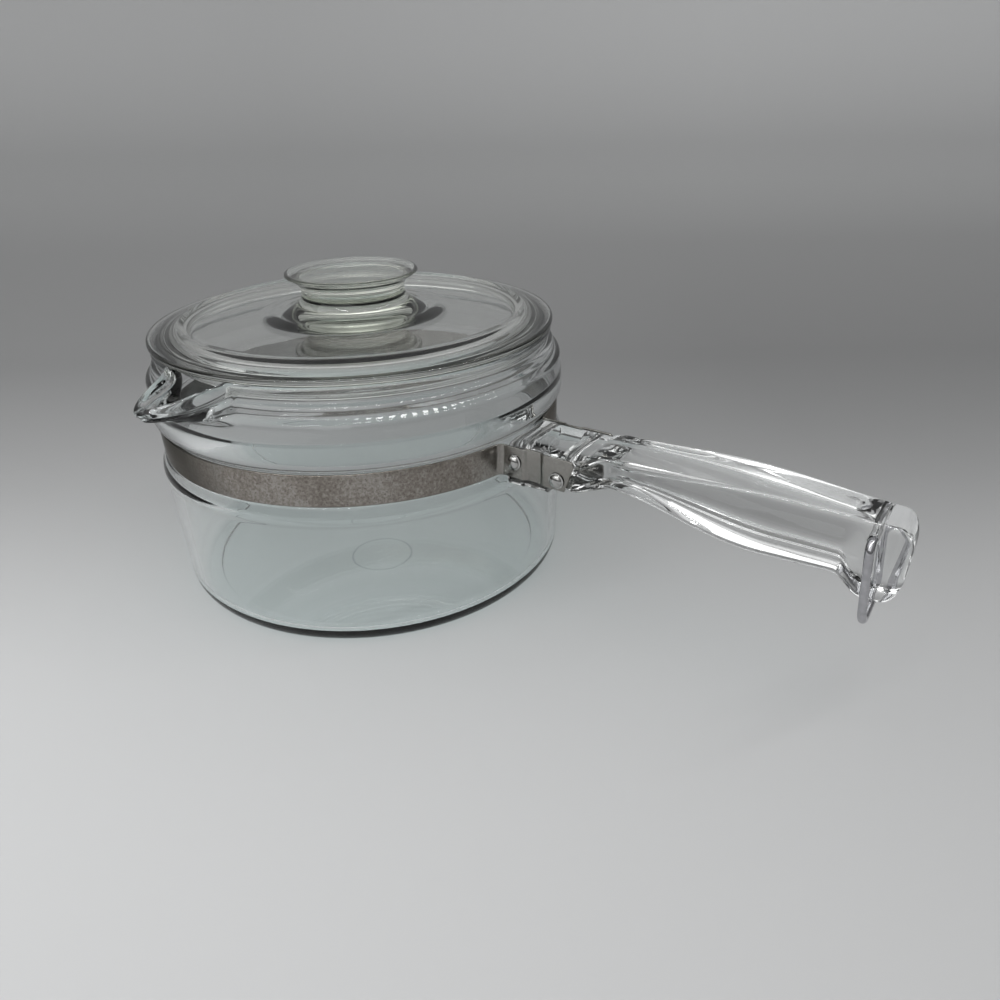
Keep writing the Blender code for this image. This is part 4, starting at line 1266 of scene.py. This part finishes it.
def painted_sweep_finish():
    """Matt paper with painted light and shade: pale floor, darker where it bends up, grey behind, white far
    up, and the right side darker on the floor and lighter on the backdrop.
    """
    material, tree, shader = new_finish("studio_paper_painted_shade")
    place = own_place(tree)
    ahead, aside = (along_way(tree, place, way) for way in (VIEW_AHEAD, VIEW_RIGHT))
    height = place_node(tree, "ShaderNodeSeparateXYZ", {0: place}).outputs[2]
    along = ranged(tree, arithmetic(tree, "ADD", ahead, height), SWEEP_NEAR, SWEEP_FAR, 0.0, 1.0)
    sides = []
    for shares in ((1.0, 1.0), SWEEP_RIGHT_PAINTED_SHARES):
        sides.append(colour_ramp(tree, along, painted_sweep_stops(*shares), "B_SPLINE"))
    feed(tree, shader, {
        "Base Color": mixed(tree, ranged(tree, aside, *SWEEP_SIDES, 0.0, 1.0), *sides),
        "Roughness": SWEEP_ROUGHNESS,
        "Specular IOR Level": SWEEP_GLOSS,
    })
    return material


def make_sweep():
    """The floor and backdrop as one sheet, painted with light and shade from pale in front to grey behind."""
    line = [(SWEEP_FRONT, 0.0), (0.0, 0.0)]
    line += round_arc((SWEEP_BACK - SWEEP_ROUND, SWEEP_ROUND), SWEEP_ROUND, -90, 0, 24)
    line.append((SWEEP_BACK, SWEEP_TOP))
    points = []
    for ahead, height in line:
        for side in (-SWEEP_HALF_WIDTH, SWEEP_HALF_WIDTH):
            points.append(VIEW_AHEAD * ahead + VIEW_RIGHT * side + UP * height)
    faces = [(2 * i, 2 * i + 1, 2 * i + 3, 2 * i + 2) for i in range(len(line) - 1)]
    sweep = flat_object("studio_sweep", points, faces=faces)
    sweep.data.shade_smooth()
    sweep.data.materials.append(painted_sweep_finish())


def make_soft_lamp():
    """One broad soft lamp above and to the left, facing the pan."""
    data = bpy.data.lights.new("soft_lamp", "AREA")
    data.shape = "RECTANGLE"
    data.size = data.size_y = SOFT_LAMP_SIZE
    data.energy = SOFT_LAMP_POWER
    lamp = bpy.data.objects.new("soft_lamp", data)
    place = UP * SOFT_LAMP_HEIGHT - VIEW_RIGHT * SOFT_LAMP_LEFT - VIEW_AHEAD * SOFT_LAMP_AWAY
    lamp.location = place
    lamp.rotation_mode = "QUATERNION"
    lamp.rotation_quaternion = (SOFT_LAMP_TARGET - place).to_track_quat("-Z", "Y")
    bpy.context.scene.collection.objects.link(lamp)


def make_strip_lamp():
    """A ceiling strip of small bright panels in front of the pan, which draws dotted glints on the glass."""
    start = UP * STRIP_HEIGHT - STRIP_AWAY * VIEW_AHEAD - STRIP_LEFT * VIEW_RIGHT
    way = STRIP_SPAN * (STRIP_RUN_RIGHT * VIEW_RIGHT + STRIP_RUN_AHEAD * VIEW_AHEAD) / STRIP_PANELS
    along = way.normalized() * STRIP_PANEL / 2
    across = UP.cross(along).normalized() * STRIP_PANEL
    points = []
    faces = []
    for index in range(STRIP_PANELS):
        middle = start + way * index
        faces.append(tuple(range(len(points), len(points) + 4)))
        for a, b in ((-1, -1), (-1, 1), (1, 1), (1, -1)):
            points.append(middle + along * a + across * b)
    strip = flat_object("strip_lamp", points, faces=faces)
    material, tree, shader = new_finish("strip_glow")
    feed(tree, shader, {
        "Base Color": (0.0, 0.0, 0.0, 1.0),
        "Emission Color": (*WHITE, 1.0),
        "Emission Strength": STRIP_STRENGTH,
    })
    strip.data.materials.append(material)


def light_room():
    """A dim room round the pan, brighter overhead."""
    world = bpy.data.worlds.new("room")
    bpy.context.scene.world = world
    world.use_nodes = True
    tree = world.node_tree
    direction = place_node(tree, "ShaderNodeTexCoord").outputs["Generated"]
    rise = place_node(tree, "ShaderNodeSeparateXYZ", {0: direction}).outputs[2]
    room = {"Color": ranged(tree, rise, *ROOM_RISE, *ROOM_TONES), "Strength": 1.0}
    feed(tree, tree.nodes["Background"], room)


def make_camera():
    """The camera at the photograph's viewing angle."""
    forward = VIEW_AHEAD * math.cos(CAMERA_PITCH) - UP * math.sin(CAMERA_PITCH)
    up = VIEW_RIGHT.cross(forward)
    rolled_right = VIEW_RIGHT * math.cos(CAMERA_ROLL) + up * math.sin(CAMERA_ROLL)
    rolled_up = up * math.cos(CAMERA_ROLL) - VIEW_RIGHT * math.sin(CAMERA_ROLL)
    data = bpy.data.cameras.new("camera")
    data.lens = CAMERA_LENS
    data.sensor_width = CAMERA_SENSOR
    data.clip_start = CAMERA_NEAREST
    camera = bpy.data.objects.new("camera", data)
    camera.location = CAMERA_PLACE
    camera.rotation_mode = "QUATERNION"
    camera.rotation_quaternion = Matrix((rolled_right, rolled_up, -forward)).transposed().to_quaternion()
    bpy.context.scene.collection.objects.link(camera)
    bpy.context.scene.camera = camera


def main():
    """Make every piece, the studio and the camera."""
    pot_glass = glass_finish("pot_glass", **POT_GLASS, marked=True)
    lid_glass = glass_finish("lid_glass", **LID_GLASS)
    handle_glass = glass_finish("handle_glass", **HANDLE_GLASS)
    rivet_steel = polished_finish("rivet_steel", **RIVET_STEEL)
    ring_chrome = polished_finish("ring_chrome", **RING_CHROME)
    turned = turning_tree(False)
    make_pot(pot_glass)
    make_lid(turned, lid_glass)
    make_handle(handle_glass)
    make_strap(strap_finish())
    make_rivets(turned, rivet_steel)
    make_ring(ring_chrome)
    make_sweep()
    make_soft_lamp()
    make_strip_lamp()
    light_room()
    make_camera()
    bpy.context.scene.view_settings.view_transform = "Standard"


main()
